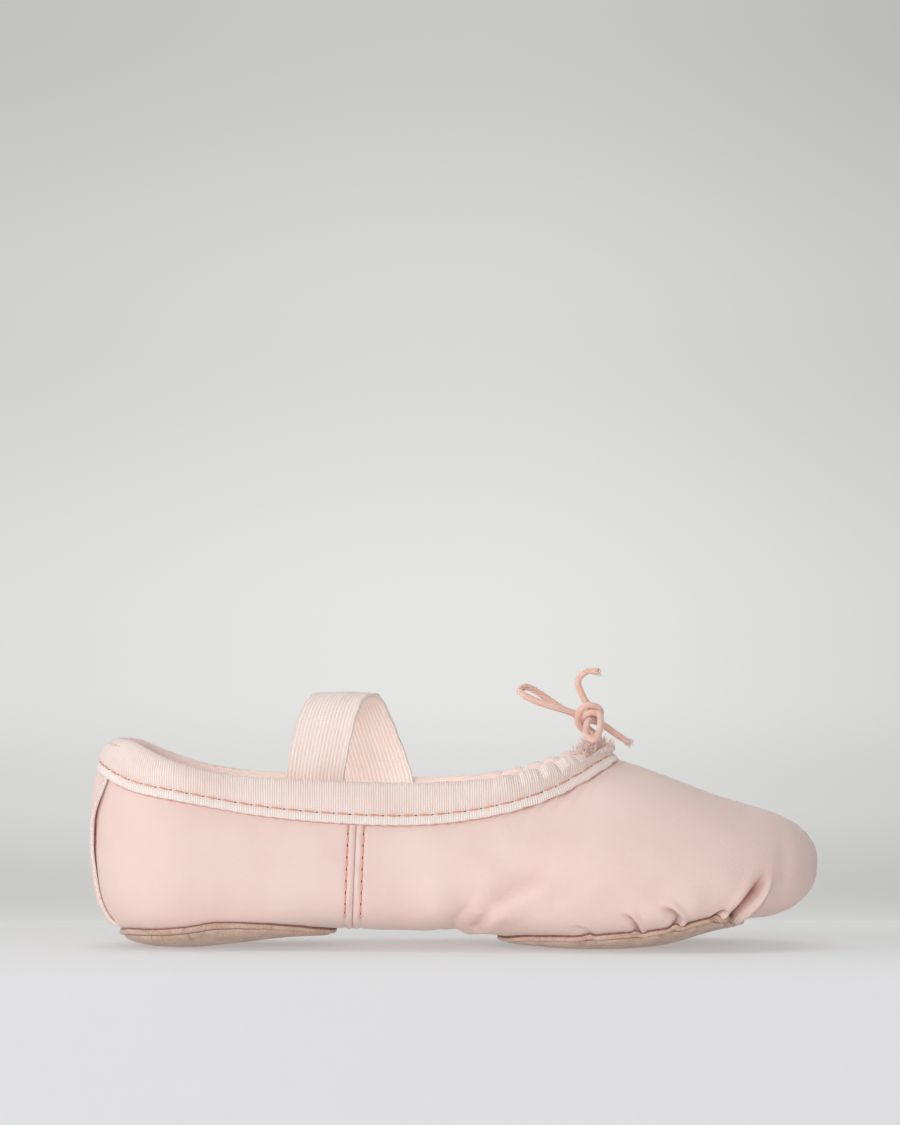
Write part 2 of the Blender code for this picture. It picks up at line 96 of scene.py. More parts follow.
def spline(points):
    """A function that runs smoothly through the (x, value) points, and is level past its ends."""
    x, y = np.array(points, float).T
    step, last = np.diff(x), len(x) - 1
    rows, right = np.eye(last + 1), np.zeros(last + 1)
    for i in range(1, last):
        rows[i, i - 1 : i + 2] = step[i - 1], 2 * (step[i - 1] + step[i]), step[i]
        right[i] = 6 * ((y[i + 1] - y[i]) / step[i] - (y[i] - y[i - 1]) / step[i - 1])
    bend = np.linalg.solve(rows, right)

    def value(at):
        at = np.clip(at, x[0], x[-1])
        i = np.clip(np.searchsorted(x, at) - 1, 0, last - 1)
        after, before = at - x[i], x[i + 1] - at
        curved = (bend[i] * before**3 + bend[i + 1] * after**3) / (6 * step[i])
        low = (y[i] / step[i] - bend[i] * step[i] / 6) * before
        high = (y[i + 1] / step[i] - bend[i + 1] * step[i] / 6) * after
        return curved + low + high

    return value


waist = spline([(-62, 23.0), (-40, 23.1), (-15, 23.5), (10, 26.2), (30, 29.2), (46, 30.0)])
belt = spline([(-62, 20), (-35, 17), (-10, 15.5), (20, 14), (50, 14), (70, 17), (87.5, 19.8)])
keel_line = spline(
    [(-62, 1.7), (-50, 2.9), (-38, 4.2), (-15, 4.0), (2, 3.6), (12, 2.9), (24, 1.7), (44, 1.7)]
    + [(52, 2.9), (58, 4.7), (64, 6.2), (72, 7.2), (87.5, 9.0)]
)
ridge_line = spline(
    [(39.6, 44.7), (46.3, 42.5), (57.4, 38.4), (67.3, 34.8), (76, 32.7), (82, 31.6), (87.5, 30.2)]
)
fullness = spline(
    [(-86, 34.5), (-62, 34.9), (-40, 33.5), (-23.5, 31.0), (6, 26.3), (20, 26.3), (33, 27.6)]
    + [(42, 28.2), (48, 27.4), (57.4, 23.7), (67.3, 18.8), (76, 14.8), (87.5, 10.4)]
)
lower_height = spline(
    [(-85.2, 42.3), (-79.2, 38.9), (-68.9, 36.2), (-49.5, 32.6), (-26.3, 30.2), (-9, 29.8)]
    + [(6, 31.3), (17.3, 33.9), (26.6, 37.4), (33.4, 41.0), (39.6, 44.7)]
)
top_height = spline(
    [(-83, 50.3), (-78, 49.6), (-73.4, 47.9), (-66.9, 45.3), (-53.5, 42.0), (-39.8, 41.0)]
    + [(-26, 40.3), (-9, 40.0), (6.4, 40.6), (17, 42.4), (25, 44.8), (31, 47.2), (35.5, 49.2)]
)
lower_side = spline([(-62, 21.2), (-40, 21.4), (-20, 21.3), (6, 20.6)])
top_side = spline([(-62, 19.8), (-40, 19.6), (-20, 19.2), (6, 18.4)])


def way_along(points):
    """The distance along a line at each of its points."""
    return np.concatenate([[0], np.cumsum(np.linalg.norm(np.diff(points, axis=0), axis=1))])


def unit(vectors):
    return vectors / np.linalg.norm(vectors, axis=-1, keepdims=True)


def rounding(share, power):
    """1 at the middle and 0 at the edge, along a rounded curve."""
    return np.clip(1 - np.clip(share, 0, 1) ** power, 0, 1) ** (1 / power)


def ease(value):
    """0 to 1, with a level start and end."""
    value = np.clip(value, 0, 1)
    return value * value * (3 - 2 * value)


def half_width(x):
    """How far the body's widest outline is from its middle."""
    toe = TOE_WIDE * rounding(np.maximum(x - TOE_X, 0) / TOE_LONG, TOE_ROUND)
    return np.where(x > TOE_X, toe, waist(x))


def tip(x):
    return rounding(np.maximum(x - TIP_FROM_X, 0) / (TOE_TIP_X - TIP_FROM_X), TIP_ROUND)


def heel_angle(x, y):
    """0 at the heel's sides and 1 at its back."""
    back = np.maximum(HEEL_X - x, 0) / HEEL_LONG
    return np.arctan2(back, np.abs(y) / HEEL_WIDE) / (math.pi / 2)


def share_of(x, y):
    """0 on the middle line and 1 on the widest outline."""
    heel = np.hypot((x - HEEL_X) / HEEL_LONG, y / HEEL_WIDE)
    return np.where(x < HEEL_X, heel, np.abs(y) / np.maximum(half_width(x), 1e-6))


def belt_at(x, y):
    """The height of the widest outline, which is higher round the back of the heel."""
    return belt(x) + 9.5 * heel_angle(x, y) ** 1.5


def under(x, y):
    """The height of the body's underside."""
    middle = belt_at(x, y)
    power = SOLE_ROUND + (HEEL_BACK_ROUND - SOLE_ROUND) * heel_angle(x, y)
    drop = (middle - keel_line(x)) * tip(x)
    return middle - drop * rounding(share_of(x, y), power)


def over(x, y):
    """The height of the closed vamp."""
    middle = belt(x)
    share = share_of(x, y)
    climb = np.arccos(np.clip(share, 0, 1)) / (math.pi / 2)
    even = fullness(x) * rounding(share, SIDE_ROUND)
    left_over = ridge_line(x) - middle - fullness(x)
    return middle + (even + left_over * climb**RIDGE_EASE) * tip(x)


def opening(arcs, side, height):
    """A function that gives a line round the opening. It takes 0 at the back to 1 at the front."""
    long_heel, wide_heel, long_front, wide_front = arcs

    def point(at):
        at = np.asarray(at, float)
        heel = math.pi / 2 * (1 - np.minimum(at, 0.3) / 0.3)
        front = math.pi / 2 * (1 - (np.maximum(at, 0.65) - 0.65) / 0.35)
        side_x = HEEL_X + (FRONT_X - HEEL_X) * (at - 0.3) / 0.35
        at_heel, at_side = at < 0.3, at < 0.65
        x = np.where(at_side, side_x, FRONT_X + long_front * np.cos(front))
        x = np.where(at_heel, HEEL_X - long_heel * np.sin(heel), x)
        y = np.where(at_side, side(side_x), wide_front * np.sin(front))
        y = np.where(at_heel, wide_heel * np.cos(heel), y)
        return np.stack([x, y, height(x)], -1)

    return point


lower_line = opening(LOWER_ARCS, lower_side, lower_height)
top_line = opening(TOP_ARCS, top_side, top_height)


def loop_at(x):
    """The value, on the opening's straight side, at which a line round the opening is at x."""
    return 0.3 + 0.35 * (x - HEEL_X) / (FRONT_X - HEEL_X)


SEAM_AT = loop_at(SIDE_SEAM_X)


def wall(at, climb):
    """Points of an open section's wall. climb is 0 on the widest outline and 1 on the tape's lower line."""
    end = lower_line(at)
    if at < 0.3:
        turn = math.pi / 2 * (1 - at / 0.3)
        start = np.array((HEEL_X, 0.0))
        edge = np.array((HEEL_X - HEEL_LONG * math.sin(turn), HEEL_WIDE * math.cos(turn)))
    else:
        start, edge = np.array((end[0], 0.0)), np.array((end[0], float(half_width(end[0]))))
    last = np.linalg.norm(end[:2] - start) / np.linalg.norm(edge - start)
    middle, full = float(belt_at(edge[0], edge[1])), float(fullness(edge[0]))
    left_over = end[2] - middle - full * rounding(last, SIDE_ROUND)
    share = np.cos(climb * math.acos(last))
    place = start + share[:, None] * (edge - start)
    height = middle + full * rounding(share, SIDE_ROUND) + left_over * climb**RIDGE_EASE
    return np.column_stack([place, height])


def across(kind, value, inward):
    """(x, y) of points from the middle line (0) to the widest outline (1) of one section."""
    if kind == "heel":
        x = HEEL_X - HEEL_LONG * math.sin(value) * inward
        return x, HEEL_WIDE * math.cos(value) * inward
    if kind == "toe":
        x = TOE_X + TOE_LONG * abs(math.cos(value)) ** (2 / TOE_ROUND) * inward
        return x, TOE_WIDE * abs(math.sin(value)) ** (2 / TOE_ROUND) * inward
    return np.full_like(inward, value), float(half_width(value)) * inward


LOW_ROWS = 58
WALL_ROWS = 46
COLLAR_ROWS = 6


def section(kind, value, first):
    """One section of the upper, from under the foot up to the tape or the ridge."""
    is_open = kind == "open"
    if is_open:
        end = lower_line(value)
        heel = value < 0.3
        low_kind = "heel" if heel else "side"
        low_value = math.pi / 2 * (1 - value / 0.3) if heel else float(end[0])
    else:
        low_kind, low_value = kind, value
    turns = np.linspace(math.asin(first), math.pi / 2, LOW_ROWS)
    x, y = across(low_kind, low_value, np.sin(turns))
    rows = [np.column_stack([x, y, under(x, y)])]
    climbs = np.linspace(0, 1, WALL_ROWS)[1:]
    if is_open:
        rows.append(wall(value, climbs))
        up = top_line(value) - end
        rows.append(end + np.linspace(0.08, 0.45, COLLAR_ROWS)[:, None] * up)
    else:
        x, y = across(low_kind, low_value, np.cos(climbs * math.pi / 2))
        rows.append(np.column_stack([x, y, over(x, y)]))
    return np.vstack(rows)


def mirrored(points):
    return points * np.array((1.0, -1.0, 1.0))


# ---------------------------------------------------------------- meshes


def mesh_object(name, points, faces):
    mesh = bpy.data.meshes.new(name)
    mesh.from_pydata([tuple(p) for p in np.asarray(points) * MM], [], faces)
    obj = bpy.data.objects.new(name, mesh)
    bpy.context.scene.collection.objects.link(obj)
    mesh.shade_smooth()
    return obj


def grid_faces(columns, rows, close_rows=False):
    """Quads over a grid of points stored column by column."""
    faces = []
    for i in range(columns - 1):
        here, ahead = i * rows, (i + 1) * rows
        for k in range(rows if close_rows else rows - 1):
            m = (k + 1) % rows
            faces.append((here + k, ahead + k, ahead + m, here + m))
    return faces


def lengths(grid, axis):
    """Distance along a grid's rows or columns, in millimetres."""
    steps = np.linalg.norm(np.diff(grid, axis=axis), axis=2)
    shape = list(steps.shape)
    shape[axis] = 1
    return np.concatenate([np.zeros(shape), np.cumsum(steps, axis=axis)], axis=axis)


def grid_object(name, grid, u=None, v=None):
    """A surface over a grid of points, with a UV map in millimetres along (u) and across (v)."""
    columns, rows = grid.shape[:2]
    obj = mesh_object(name, grid.reshape(-1, 3), grid_faces(columns, rows))
    if u is None:
        u = lengths(grid, 0).mean(axis=1)[:, None] * np.ones((1, rows))
    if v is None:
        v = lengths(grid, 1)
    layer = obj.data.uv_layers.new(name="UVMap")
    index = np.empty(len(obj.data.loops), np.int32)
    obj.data.loops.foreach_get("vertex_index", index)
    spread = np.column_stack([u.reshape(-1)[index], v.reshape(-1)[index]])
    layer.data.foreach_set("uv", spread.astype(np.float32).ravel())
    return obj


def normals_of(grid):
    """Outward unit normals of a grid whose columns run anticlockwise seen from above and rows run up."""
    along = np.gradient(grid, axis=0)
    up = np.gradient(grid, axis=1)
    out = np.cross(along, up)
    size = np.linalg.norm(out, axis=2, keepdims=True)
    out = out / np.maximum(size, 1e-9)
    pole = size[:, -1, 0] < 1e-4
    if pole.any():
        out[pole, -1] = out[pole, -2].mean(axis=0)
    return out


def bend_with_vamp(obj):
    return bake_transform(obj)


def thicken(obj, thick, offset=-1.0):
    solid = obj.modifiers.new("thickness", "SOLIDIFY")
    solid.thickness = thick * MM
    solid.offset = offset
    solid.use_even_offset = False
    return obj


def eased(points, count):
    """Points evenly spaced along a smooth curve through the given points."""
    points = np.array(points, float)
    along = way_along(points)
    lines = [spline(list(zip(along, points[:, k]))) for k in range(3)]
    fine = np.linspace(0, along[-1], 400)
    dense = np.stack([line(fine) for line in lines], axis=1)
    real = way_along(dense)
    at = np.interp(np.linspace(0, real[-1], count), real, fine)
    return np.stack([line(at) for line in lines], axis=1), float(real[-1])


def tube_grid(path, radius, sides=12):
    """A grid of rings round a path, turned as little as possible from ring to ring."""
    path = np.asarray(path, float)
    tangents = unit(np.gradient(path, axis=0))
    side = np.cross(tangents[0], (0.0, 0.0, 1.0))
    if np.linalg.norm(side) < 0.1:
        side = np.cross(tangents[0], (0.0, 1.0, 0.0))
    side /= np.linalg.norm(side)
    turns = np.linspace(0, 2 * math.pi, sides + 1)
    rings = []
    for i, (place, ahead) in enumerate(zip(path, tangents)):
        side = side - ahead * np.dot(side, ahead)
        side /= np.linalg.norm(side)
        other = np.cross(ahead, side)
        size = radius if np.isscalar(radius) else radius[i]
        rings.append(place + size * (np.cos(turns)[:, None] * side + np.sin(turns)[:, None] * other))
    return np.array(rings)


def weld(obj, distance=0.004):
    """Joins points that share a place, as round a tube."""
    shape = bmesh.new()
    shape.from_mesh(obj.data)
    bmesh.ops.remove_doubles(shape, verts=shape.verts, dist=distance * MM)
    bmesh.ops.recalc_face_normals(shape, faces=shape.faces)
    shape.to_mesh(obj.data)
    shape.free()
    return obj


def cap_ends(obj):
    shape = bmesh.new()
    shape.from_mesh(obj.data)
    bmesh.ops.holes_fill(shape, edges=[e for e in shape.edges if e.is_boundary], sides=0)
    shape.to_mesh(obj.data)
    shape.free()
    return obj


def tube_object(name, path, radius, sides=12):
    grid = tube_grid(path, radius, sides)
    u = lengths(grid, 0).mean(axis=1)[:, None] * np.ones((1, sides + 1))
    v = np.linspace(0, 1, sides + 1)[None, :] * np.ones((len(grid), 1))
    return cap_ends(weld(grid_object(name, grid, u, v)))


def joined(name, objects):
    """One object from several, keeping their places."""
    bpy.ops.object.select_all(action="DESELECT")
    for obj in objects:
        obj.select_set(True)
    bpy.context.view_layer.objects.active = objects[0]
    bpy.ops.object.join()
    objects[0].name = name
    return objects[0]


def fuzz(points, scale, seed):
    """Smooth noise from -1 to 1 at each point, one blob per scale millimetres."""
    shift = Vector((seed * 7.3, seed * 3.1, seed * 5.7))
    values = [noise.noise(Vector(p) / scale + shift) for p in points.reshape(-1, 3)]
    return np.array(values).reshape(points.shape[:-1])


# ---------------------------------------------------------------- materials


def srgb(text):
    """A linear colour from a six-digit sRGB one."""
    parts = [int(text[i : i + 2], 16) / 255 for i in (0, 2, 4)]
    line = [p / 12.92 if p <= 0.04045 else ((p + 0.055) / 1.055) ** 2.4 for p in parts]
    return (*line, 1.0)


class Look:
    """A material under construction, with short calls for the nodes that it needs."""

    def __init__(self, name, roughness, sheen=0.0, specular=0.5, glow=0.0):
        self.material = bpy.data.materials.new(name)
        self.material.use_nodes = True
        self.nodes = self.material.node_tree.nodes
        self.links = self.material.node_tree.links
        self.shader = self.nodes["Principled BSDF"]
        self.shader.inputs["Roughness"].default_value = roughness
        self.shader.inputs["Sheen Weight"].default_value = sheen
        self.shader.inputs["Sheen Roughness"].default_value = 0.5
        self.shader.inputs["Specular IOR Level"].default_value = specular
        self.shader.inputs["Subsurface Weight"].default_value = glow
        self.shader.inputs["Subsurface Radius"].default_value = (1.0, 0.6, 0.45)
        self.shader.inputs["Subsurface Scale"].default_value = 1.2 * MM
        self.height = None

    def add(self, kind, settings=None, **inputs):
        node = self.nodes.new(kind)
        for key, value in (settings or {}).items():
            setattr(node, key, value)
        for key, value in inputs.items():
            self.set(node.inputs[key.replace("_", " ")], value)
        return node

    def math(self, operation, *values):
        node = self.add("ShaderNodeMath", {"operation": operation})
        for socket, value in zip(node.inputs, values):
            self.set(socket, value)
        return node.outputs[0]

    def object_place(self):
        return self.add("ShaderNodeTexCoord").outputs["Object"]

    def noise(self, scale, detail=2.0, rough=0.5):
        """Noise with scale blobs per millimetre of the object."""
        place = self.object_place()
        node = self.add("ShaderNodeTexNoise", None, Vector=place, Scale=scale / MM, Detail=detail)
        node.inputs["Roughness"].default_value = rough
        return node.outputs["Fac"]

    def mix(self, share, first, second):
        node = self.add("ShaderNodeMix", {"data_type": "RGBA"})
        for index, value in ((0, share), (6, first), (7, second)):
            self.set(node.inputs[index], value)
        return node.outputs[2]

    def ramp(self, value, low, high):
        node = self.add("ShaderNodeMapRange", {"interpolation_type": "SMOOTHSTEP"}, Value=value)
        node.inputs["From Min"].default_value = low
        node.inputs["From Max"].default_value = high
        return node.outputs[0]

    def uv(self):
        split = self.add("ShaderNodeSeparateXYZ", None, Vector=self.add("ShaderNodeUVMap").outputs[0])
        return split.outputs[0], split.outputs[1]

    def place(self):
        """The object's own X, Y and Z, in metres."""
        return tuple(self.add("ShaderNodeSeparateXYZ", None, Vector=self.object_place()).outputs)

    def mark(self, name):
        """A value from 0 to 1 that the mesh carries at each of its points."""
        return self.add("ShaderNodeAttribute", {"attribute_name": name}).outputs["Fac"]

    def wave(self, value, pitch):
        """0 to 1 and back, once per pitch of a value in millimetres."""
        turn = self.math("MULTIPLY", value, 2 * math.pi / pitch)
        return self.math("MULTIPLY_ADD", self.math("SINE", turn), 0.5, 0.5)

    def set(self, socket, value):
        """Sets a socket to a number or a colour, or links it to another node's output."""
        if isinstance(value, bpy.types.NodeSocket):
            self.links.new(value, socket)
        else:
            socket.default_value = value

    def colour(self, value):
        self.set(self.shader.inputs["Base Color"], value)

    def shine(self, value):
        """Makes the surface give out a colour of its own."""
        self.links.new(value, self.shader.inputs["Emission Color"])
        self.shader.inputs["Emission Strength"].default_value = 1.0

    def rough(self, value):
        self.links.new(value, self.shader.inputs["Roughness"])

    def bump(self, height, depth):
        """Adds relief whose height is depth millimetres."""
        node = self.add("ShaderNodeBump", None, Height=height, Strength=1.0, Distance=depth * MM)
        if self.height:
            self.links.new(self.height, node.inputs["Normal"])
        self.height = node.outputs[0]
        self.links.new(self.height, self.shader.inputs["Normal"])


def paint(obj, material):
    obj.data.materials.clear()
    obj.data.materials.append(material)
    return obj


def leather_look(name, base, warm, cool):
    """Soft matt leather: fine grain, broad colour drift, a light sheen and painted shade in its creases."""
    look = Look(name, 0.52, sheen=0.12, specular=0.35)
    drift = look.ramp(look.noise(0.035, 3.0), 0.3, 0.7)
    mottle = look.ramp(look.noise(0.5, 4.0, 0.6), 0.25, 0.75)
    colour = look.mix(drift, srgb(warm), srgb(cool))
    colour = look.mix(look.math("MULTIPLY", mottle, 0.35), colour, srgb(base))
    # Painted shade: the colour turns darker and redder where the crease attribute marks the bottoms of the
    # folds and the side seam.
    crease_shade = look.math("MULTIPLY", look.mark("crease"), 0.85)
    look.colour(look.mix(crease_shade, colour, srgb("9a5a4a")))
    look.rough(look.math("MULTIPLY_ADD", look.noise(0.9, 3.0), 0.16, 0.44))
    cells = look.add("ShaderNodeTexVoronoi", {"feature": "DISTANCE_TO_EDGE"})
    look.links.new(look.object_place(), cells.inputs["Vector"])
    cells.inputs["Scale"].default_value = 1.6 / MM
    look.bump(look.ramp(cells.outputs["Distance"], 0.0, 0.22), 0.018)
    look.bump(look.noise(0.6, 5.0, 0.62), 0.05)
    look.bump(look.noise(3.0, 3.0, 0.6), 0.02)
    return look.material


def cotton_look(name, light, dark, pitch=0.45):
    """Plain weave in the mesh's own UVs."""
    look = Look(name, 0.9, sheen=0.25, specular=0.2)
    u, v = look.uv()
    warp, weft = look.wave(u, pitch), look.wave(v, pitch)
    weave = look.math("MULTIPLY", warp, weft)
    soft = look.math("MULTIPLY", look.noise(0.12, 3.0), 0.5)
    look.colour(look.mix(look.math("MULTIPLY_ADD", weave, 0.35, soft), srgb(dark), srgb(light)))
    look.bump(weave, 0.06)
    return look.material


def tape_look():
    """Ribbed woven tape: ribs across its length, with a fine weave along them."""
    look = Look("tape_weave", 0.82, sheen=0.3, specular=0.25)
    u, v = look.uv()
    wobble = look.math("MULTIPLY", look.noise(0.25, 2.0), 0.25)
    ribs = look.wave(look.math("ADD", u, wobble), RIB_PITCH)
    threads = look.wave(v, 0.34)
    cloth = look.math("MULTIPLY_ADD", threads, 0.25, look.math("MULTIPLY", ribs, 0.75))
    patch = look.ramp(look.noise(0.08, 3.0), 0.3, 0.7)
    light = look.mix(patch, srgb("fff2ec"), srgb("fae7df"))
    woven = look.mix(look.ramp(cloth, 0.0, 0.7), srgb("f0d0c5"), light)
    edge = look.mix(look.ramp(cloth, 0.0, 0.5), srgb("f3d7cc"), srgb("fff4ee"))
    cloth = look.mix(look.ramp(v, STITCH_UP + 0.25, STITCH_UP - 0.05), woven, edge)
    brushed = look.mix(look.noise(1.5, 3.0), srgb("fbe6dd"), srgb("f3d6cb"))
    outside = look.ramp(v, TAPE_INSIDE + 1.2, TAPE_INSIDE - 0.2)
    look.colour(look.mix(outside, brushed, cloth))
    look.bump(look.math("MULTIPLY", ribs, outside), 0.12)
    look.bump(threads, 0.02)
    return look.material


def elastic_look():
    """Ribbed elastic: fine ribs along its length, crossed by tight weft."""
    look = Look("elastic_weave", 0.75, sheen=0.3, specular=0.3, glow=0.08)
    u, v = look.uv()
    ribs = look.wave(u, 0.92)
    weft = look.wave(v, 0.42)
    patch = look.ramp(look.noise(0.1, 3.0), 0.3, 0.7)
    light = look.mix(patch, srgb("fdeee7"), srgb("fbe8df"))
    cloth = look.math("MULTIPLY_ADD", weft, 0.22, look.math("MULTIPLY", ribs, 0.78))
    look.colour(look.mix(look.ramp(cloth, 0.0, 0.42), srgb("f0d0c3"), light))
    look.bump(ribs, 0.14)
    look.bump(weft, 0.05)
    return look.material


def cord_look():
    """Round elastic cord, wrapped with fine turns of thread that lean a little, with painted shade between
    the turns.
    """
    look = Look("cord_wrap", 0.6, sheen=0.3, specular=0.35, glow=0.4)
    u, v = look.uv()
    turns = look.wave(look.math("MULTIPLY_ADD", v, 0.9, u), 0.42)
    drift = look.ramp(look.noise(0.3, 3.0), 0.3, 0.7)
    light = look.mix(drift, srgb("f8dacd"), srgb("f3cbbb"))
    # Painted shade: the colour darkens in the grooves between the turns.
    look.colour(look.mix(look.ramp(turns, 0.0, 0.7), srgb("e6b19e"), light))
    look.bump(turns, 0.06)
    return look.material


def thread_look():
    look = Look("sewing_thread", 0.55, sheen=0.2, specular=0.4)
    twist = look.noise(2.5, 3.0)
    look.colour(look.mix(twist, srgb("d8957a"), srgb("ebb69e")))
    look.bump(twist, 0.05)
    return look.material


# Painted shade: dark red-brown bars stand in for the shade inside the needle holes between the stitches.
def hole_shade_look():
    look = Look("needle_hole_shade", 0.95, specular=0.1)
    look.colour(look.mix(look.noise(2.0), srgb("6d3326"), srgb("8f4a3a")))
    return look.material


def suede_look():
    """Brown suede: short nap in patches, scuffs and a fine fibre."""
    look = Look("suede_nap", 0.95, sheen=0.35, specular=0.15)
    nap = look.ramp(look.noise(0.22, 5.0, 0.65), 0.3, 0.7)
    fibre = look.noise(2.2, 4.0, 0.7)
    base = look.mix(nap, srgb("cba996"), srgb("e6cbb9"))
    base = look.mix(look.ramp(fibre, 0.35, 0.75), look.mix(0.5, base, srgb("b08e7b")), base)
    scuffs = look.add("ShaderNodeTexNoise", None, Scale=0.09 / MM, Detail=2.0, Distortion=0.8)
    look.links.new(look.object_place(), scuffs.inputs["Vector"])
    streak = look.math("ABSOLUTE", look.math("SUBTRACT", scuffs.outputs["Fac"], 0.5))
    scuffed = look.math("MULTIPLY", look.ramp(streak, 0.025, 0.0), 0.32)
    look.colour(look.mix(scuffed, base, srgb("8d6c5c")))
    look.bump(fibre, 0.14)
    look.bump(look.noise(0.5, 4.0, 0.6), 0.25)
    return look.material


def plain_look(name, first, second, roughness=0.9, scale=1.0):
    """One colour that drifts to a second in small blobs."""
    look = Look(name, roughness, sheen=0.15, specular=0.2)
    grain = look.noise(scale, 4.0, 0.6)
    look.colour(look.mix(look.ramp(grain, 0.3, 0.7), srgb(first), srgb(second)))
    look.bump(grain, 0.05)
    return look.material


LEATHER_LOOK = leather_look("pink_leather", "efd5cc", "f1d6cd", "edcfc6")
RAW_EDGE = plain_look("raw_edge", "f4e9e2", "e3cdc3", scale=2.0)
COTTON_LOOK = cotton_look("cotton_weave", "f6e2d8", "e8ccc0")
SOCK_LOOK = cotton_look("sock_weave", "f0dace", "dfc1b2", 0.6)
TAPE_LOOK = tape_look()
ELASTIC_LOOK = elastic_look()
CORD_LOOK = cord_look()
THREAD_LOOK = thread_look()
HOLE_SHADE_LOOK = hole_shade_look()
SUEDE_LOOK = suede_look()
SUEDE_EDGE = plain_look("suede_edge", "7d5d56", "9c776b", scale=1.5)

# ---------------------------------------------------------------- the leather's folds


class Fold:
    """A crease that runs over the leather, with a roll of leather beside it.

    spots are (x, height) on one side of the slipper, or (y, height) at the front of the toe. dark is how
    much painted shade the crease's bottom gets in the leather's colour.
    """

    def __init__(self, spots, wide, deep, roll=0.6, place="side", dark=0.0):
        self.spots, self.wide, self.deep, self.roll = spots, wide, deep, roll
        self.place, self.dark = place, dark
        self.line = None


NEAR_FOLDS = [
    Fold([(65.2, 7.8), (67.3, 9.6), (70.4, 13.2), (73.0, 16.8), (75.0, 20.6)], 0.85, 2.7, 0.85, dark=1.0),
    Fold([(61.6, 8.4), (63.4, 9.4), (65.0, 10.4)], 0.6, 1.4, 0.5, dark=0.8),
    Fold([(52.6, 6.4), (53.2, 8.4), (51.4, 10.0), (48.0, 11.4)], 0.7, 1.5, 0.7, dark=0.55),
    Fold([(43.8, 4.8), (43.2, 6.4), (41.4, 8.4), (38.8, 9.6)], 0.65, 1.25, 0.6, dark=0.4),
    Fold([(33.0, 3.6), (30.6, 5.4), (27.0, 6.6)], 1.0, 0.5, 0.4),
    Fold([(10.6, 12.0), (15.0, 14.8), (20.0, 17.4), (25.4, 20.6)], 2.3, 1.3, 0.6, dark=0.06),
    Fold([(5.4, 5.0), (8.6, 9.6), (12.0, 13.0)], 1.6, 1.4, 0.5, dark=0.08),
    Fold([(1.0, 3.6), (1.6, 8.0), (4.6, 13.4), (6.2, 19.0)], 2.0, 1.1, 0.45, dark=0.05),
    Fold([(-3.4, 4.0), (-6.6, 12.0), (-7.4, 20.0)], 2.4, 0.5, 0.3),
    Fold([(-47.6, 28.0), (-44.6, 31.4)], 1.0, 0.22, 0.6),
    Fold([(-60.0, 13.4), (-54.6, 12.0), (-49.6, 9.4)], 1.1, 0.22, 0.6),
    Fold([(-40.0, 22.4), (-34.6, 26.0)], 1.2, 0.18, 0.5),
    Fold([(-72.0, 9.0), (-66.0, 11.4), (-60.0, 11.0)], 1.0, 0.2, 0.5),
]
FAR_FOLDS = [
    Fold([(66.0, 8.0), (69.6, 11.6), (72.4, 16.4)], 1.1, 2.0, 0.6),
    Fold([(58.6, 6.6), (59.4, 10.0), (57.6, 12.8)], 0.8, 1.3, 0.6),
    Fold([(49.0, 5.0), (50.4, 8.6), (47.0, 12.0)], 0.85, 1.3, 0.6),
    Fold([(40.0, 4.0), (38.4, 8.0), (34.0, 10.0)], 0.8, 1.0, 0.5),
    Fold([(6.0, 3.2), (1.0, 9.6), (-3.0, 16.0)], 2.2, 0.7, 0.4),
    Fold([(14.0, 4.0), (9.6, 12.0), (8.6, 19.0)], 2.4, 0.6, 0.35),
    Fold([(-52.0, 26.0), (-47.0, 30.0)], 1.1, 0.22, 0.6),
]
TOE_FOLDS = [
    Fold([(-9.0, 8.2), (-9.4, 9.6), (-8.8, 11.4)], 0.9, 0.7, 0.5, "front"),
    Fold([(-1.0, 8.4), (-0.6, 10.4), (-1.6, 13.0)], 0.9, 1.1, 0.6, "front", 0.3),
    Fold([(8.0, 8.4), (8.4, 11.4), (7.4, 14.6)], 0.9, 1.3, 0.6, "front", 0.4),
    Fold([(17.0, 8.6), (18.4, 12.0), (19.0, 15.0)], 0.9, 1.4, 0.6, "front", 0.4),
]
# Broad hollows and swellings: (x, height), their spread along and up, and how deep.
NEAR_HOLLOWS = [
    (78.6, 21.5, 1.9, 5.0, 0.6),
    (74.4, 14.0, 2.0, 5.0, -0.5),
    (66.0, 15.0, 4.0, 5.0, -0.4),
    (56.5, 10.5, 2.6, 3.0, -0.6),
    (49.0, 14.5, 4.6, 2.6, 0.5),
    (47.6, 8.4, 2.8, 2.6, -0.55),
    (38.0, 12.0, 5.0, 3.0, 0.35),
    (30.0, 12.0, 7.0, 5.0, -0.4),
    (16.0, 11.0, 4.6, 3.4, 0.7),
    (10.0, 17.0, 4.0, 4.0, -0.55),
    (2.5, 9.0, 3.0, 5.0, 0.85),
    (-5.0, 12.0, 3.0, 8.0, -0.35),
    (-12.0, 14.0, 4.0, 8.0, 0.3),
    (8.0, 24.0, 9.0, 4.0, 0.3),
    (-50.0, 18.0, 12.0, 7.0, 0.35),
    (-40.0, 8.0, 9.0, 3.0, -0.25),
    (32.0, 26.0, 12.0, 7.0, -0.3),
]
FAR_HOLLOWS = [
    (76.0, 20.0, 2.6, 7.0, 0.8),
    (64.0, 15.0, 5.0, 6.0, -0.5),
    (50.0, 12.0, 4.5, 3.4, 0.5),
    (10.0, 13.0, 6.0, 6.0, -0.4),
    (0.0, 13.0, 5.0, 7.0, 0.7),
    (-48.0, 17.0, 12.0, 7.0, 0.35),
]


def lay_fold(fold, points, side):
    """Brings the fold's spots onto the smooth body, and joins them by a smooth line."""
    flat = points.reshape(-1, 3)
    if fold.place == "front":
        shown, axes = flat[:, 0] > 72.0, (1, 2)
    else:
        shown, axes = flat[:, 1] * side > 0, (0, 2)
    there = flat[shown]
    found = [there[np.argmin(((there[:, axes] - spot) ** 2).sum(axis=1))] for spot in fold.spots]
    fold.line = eased(found, 40)[0]


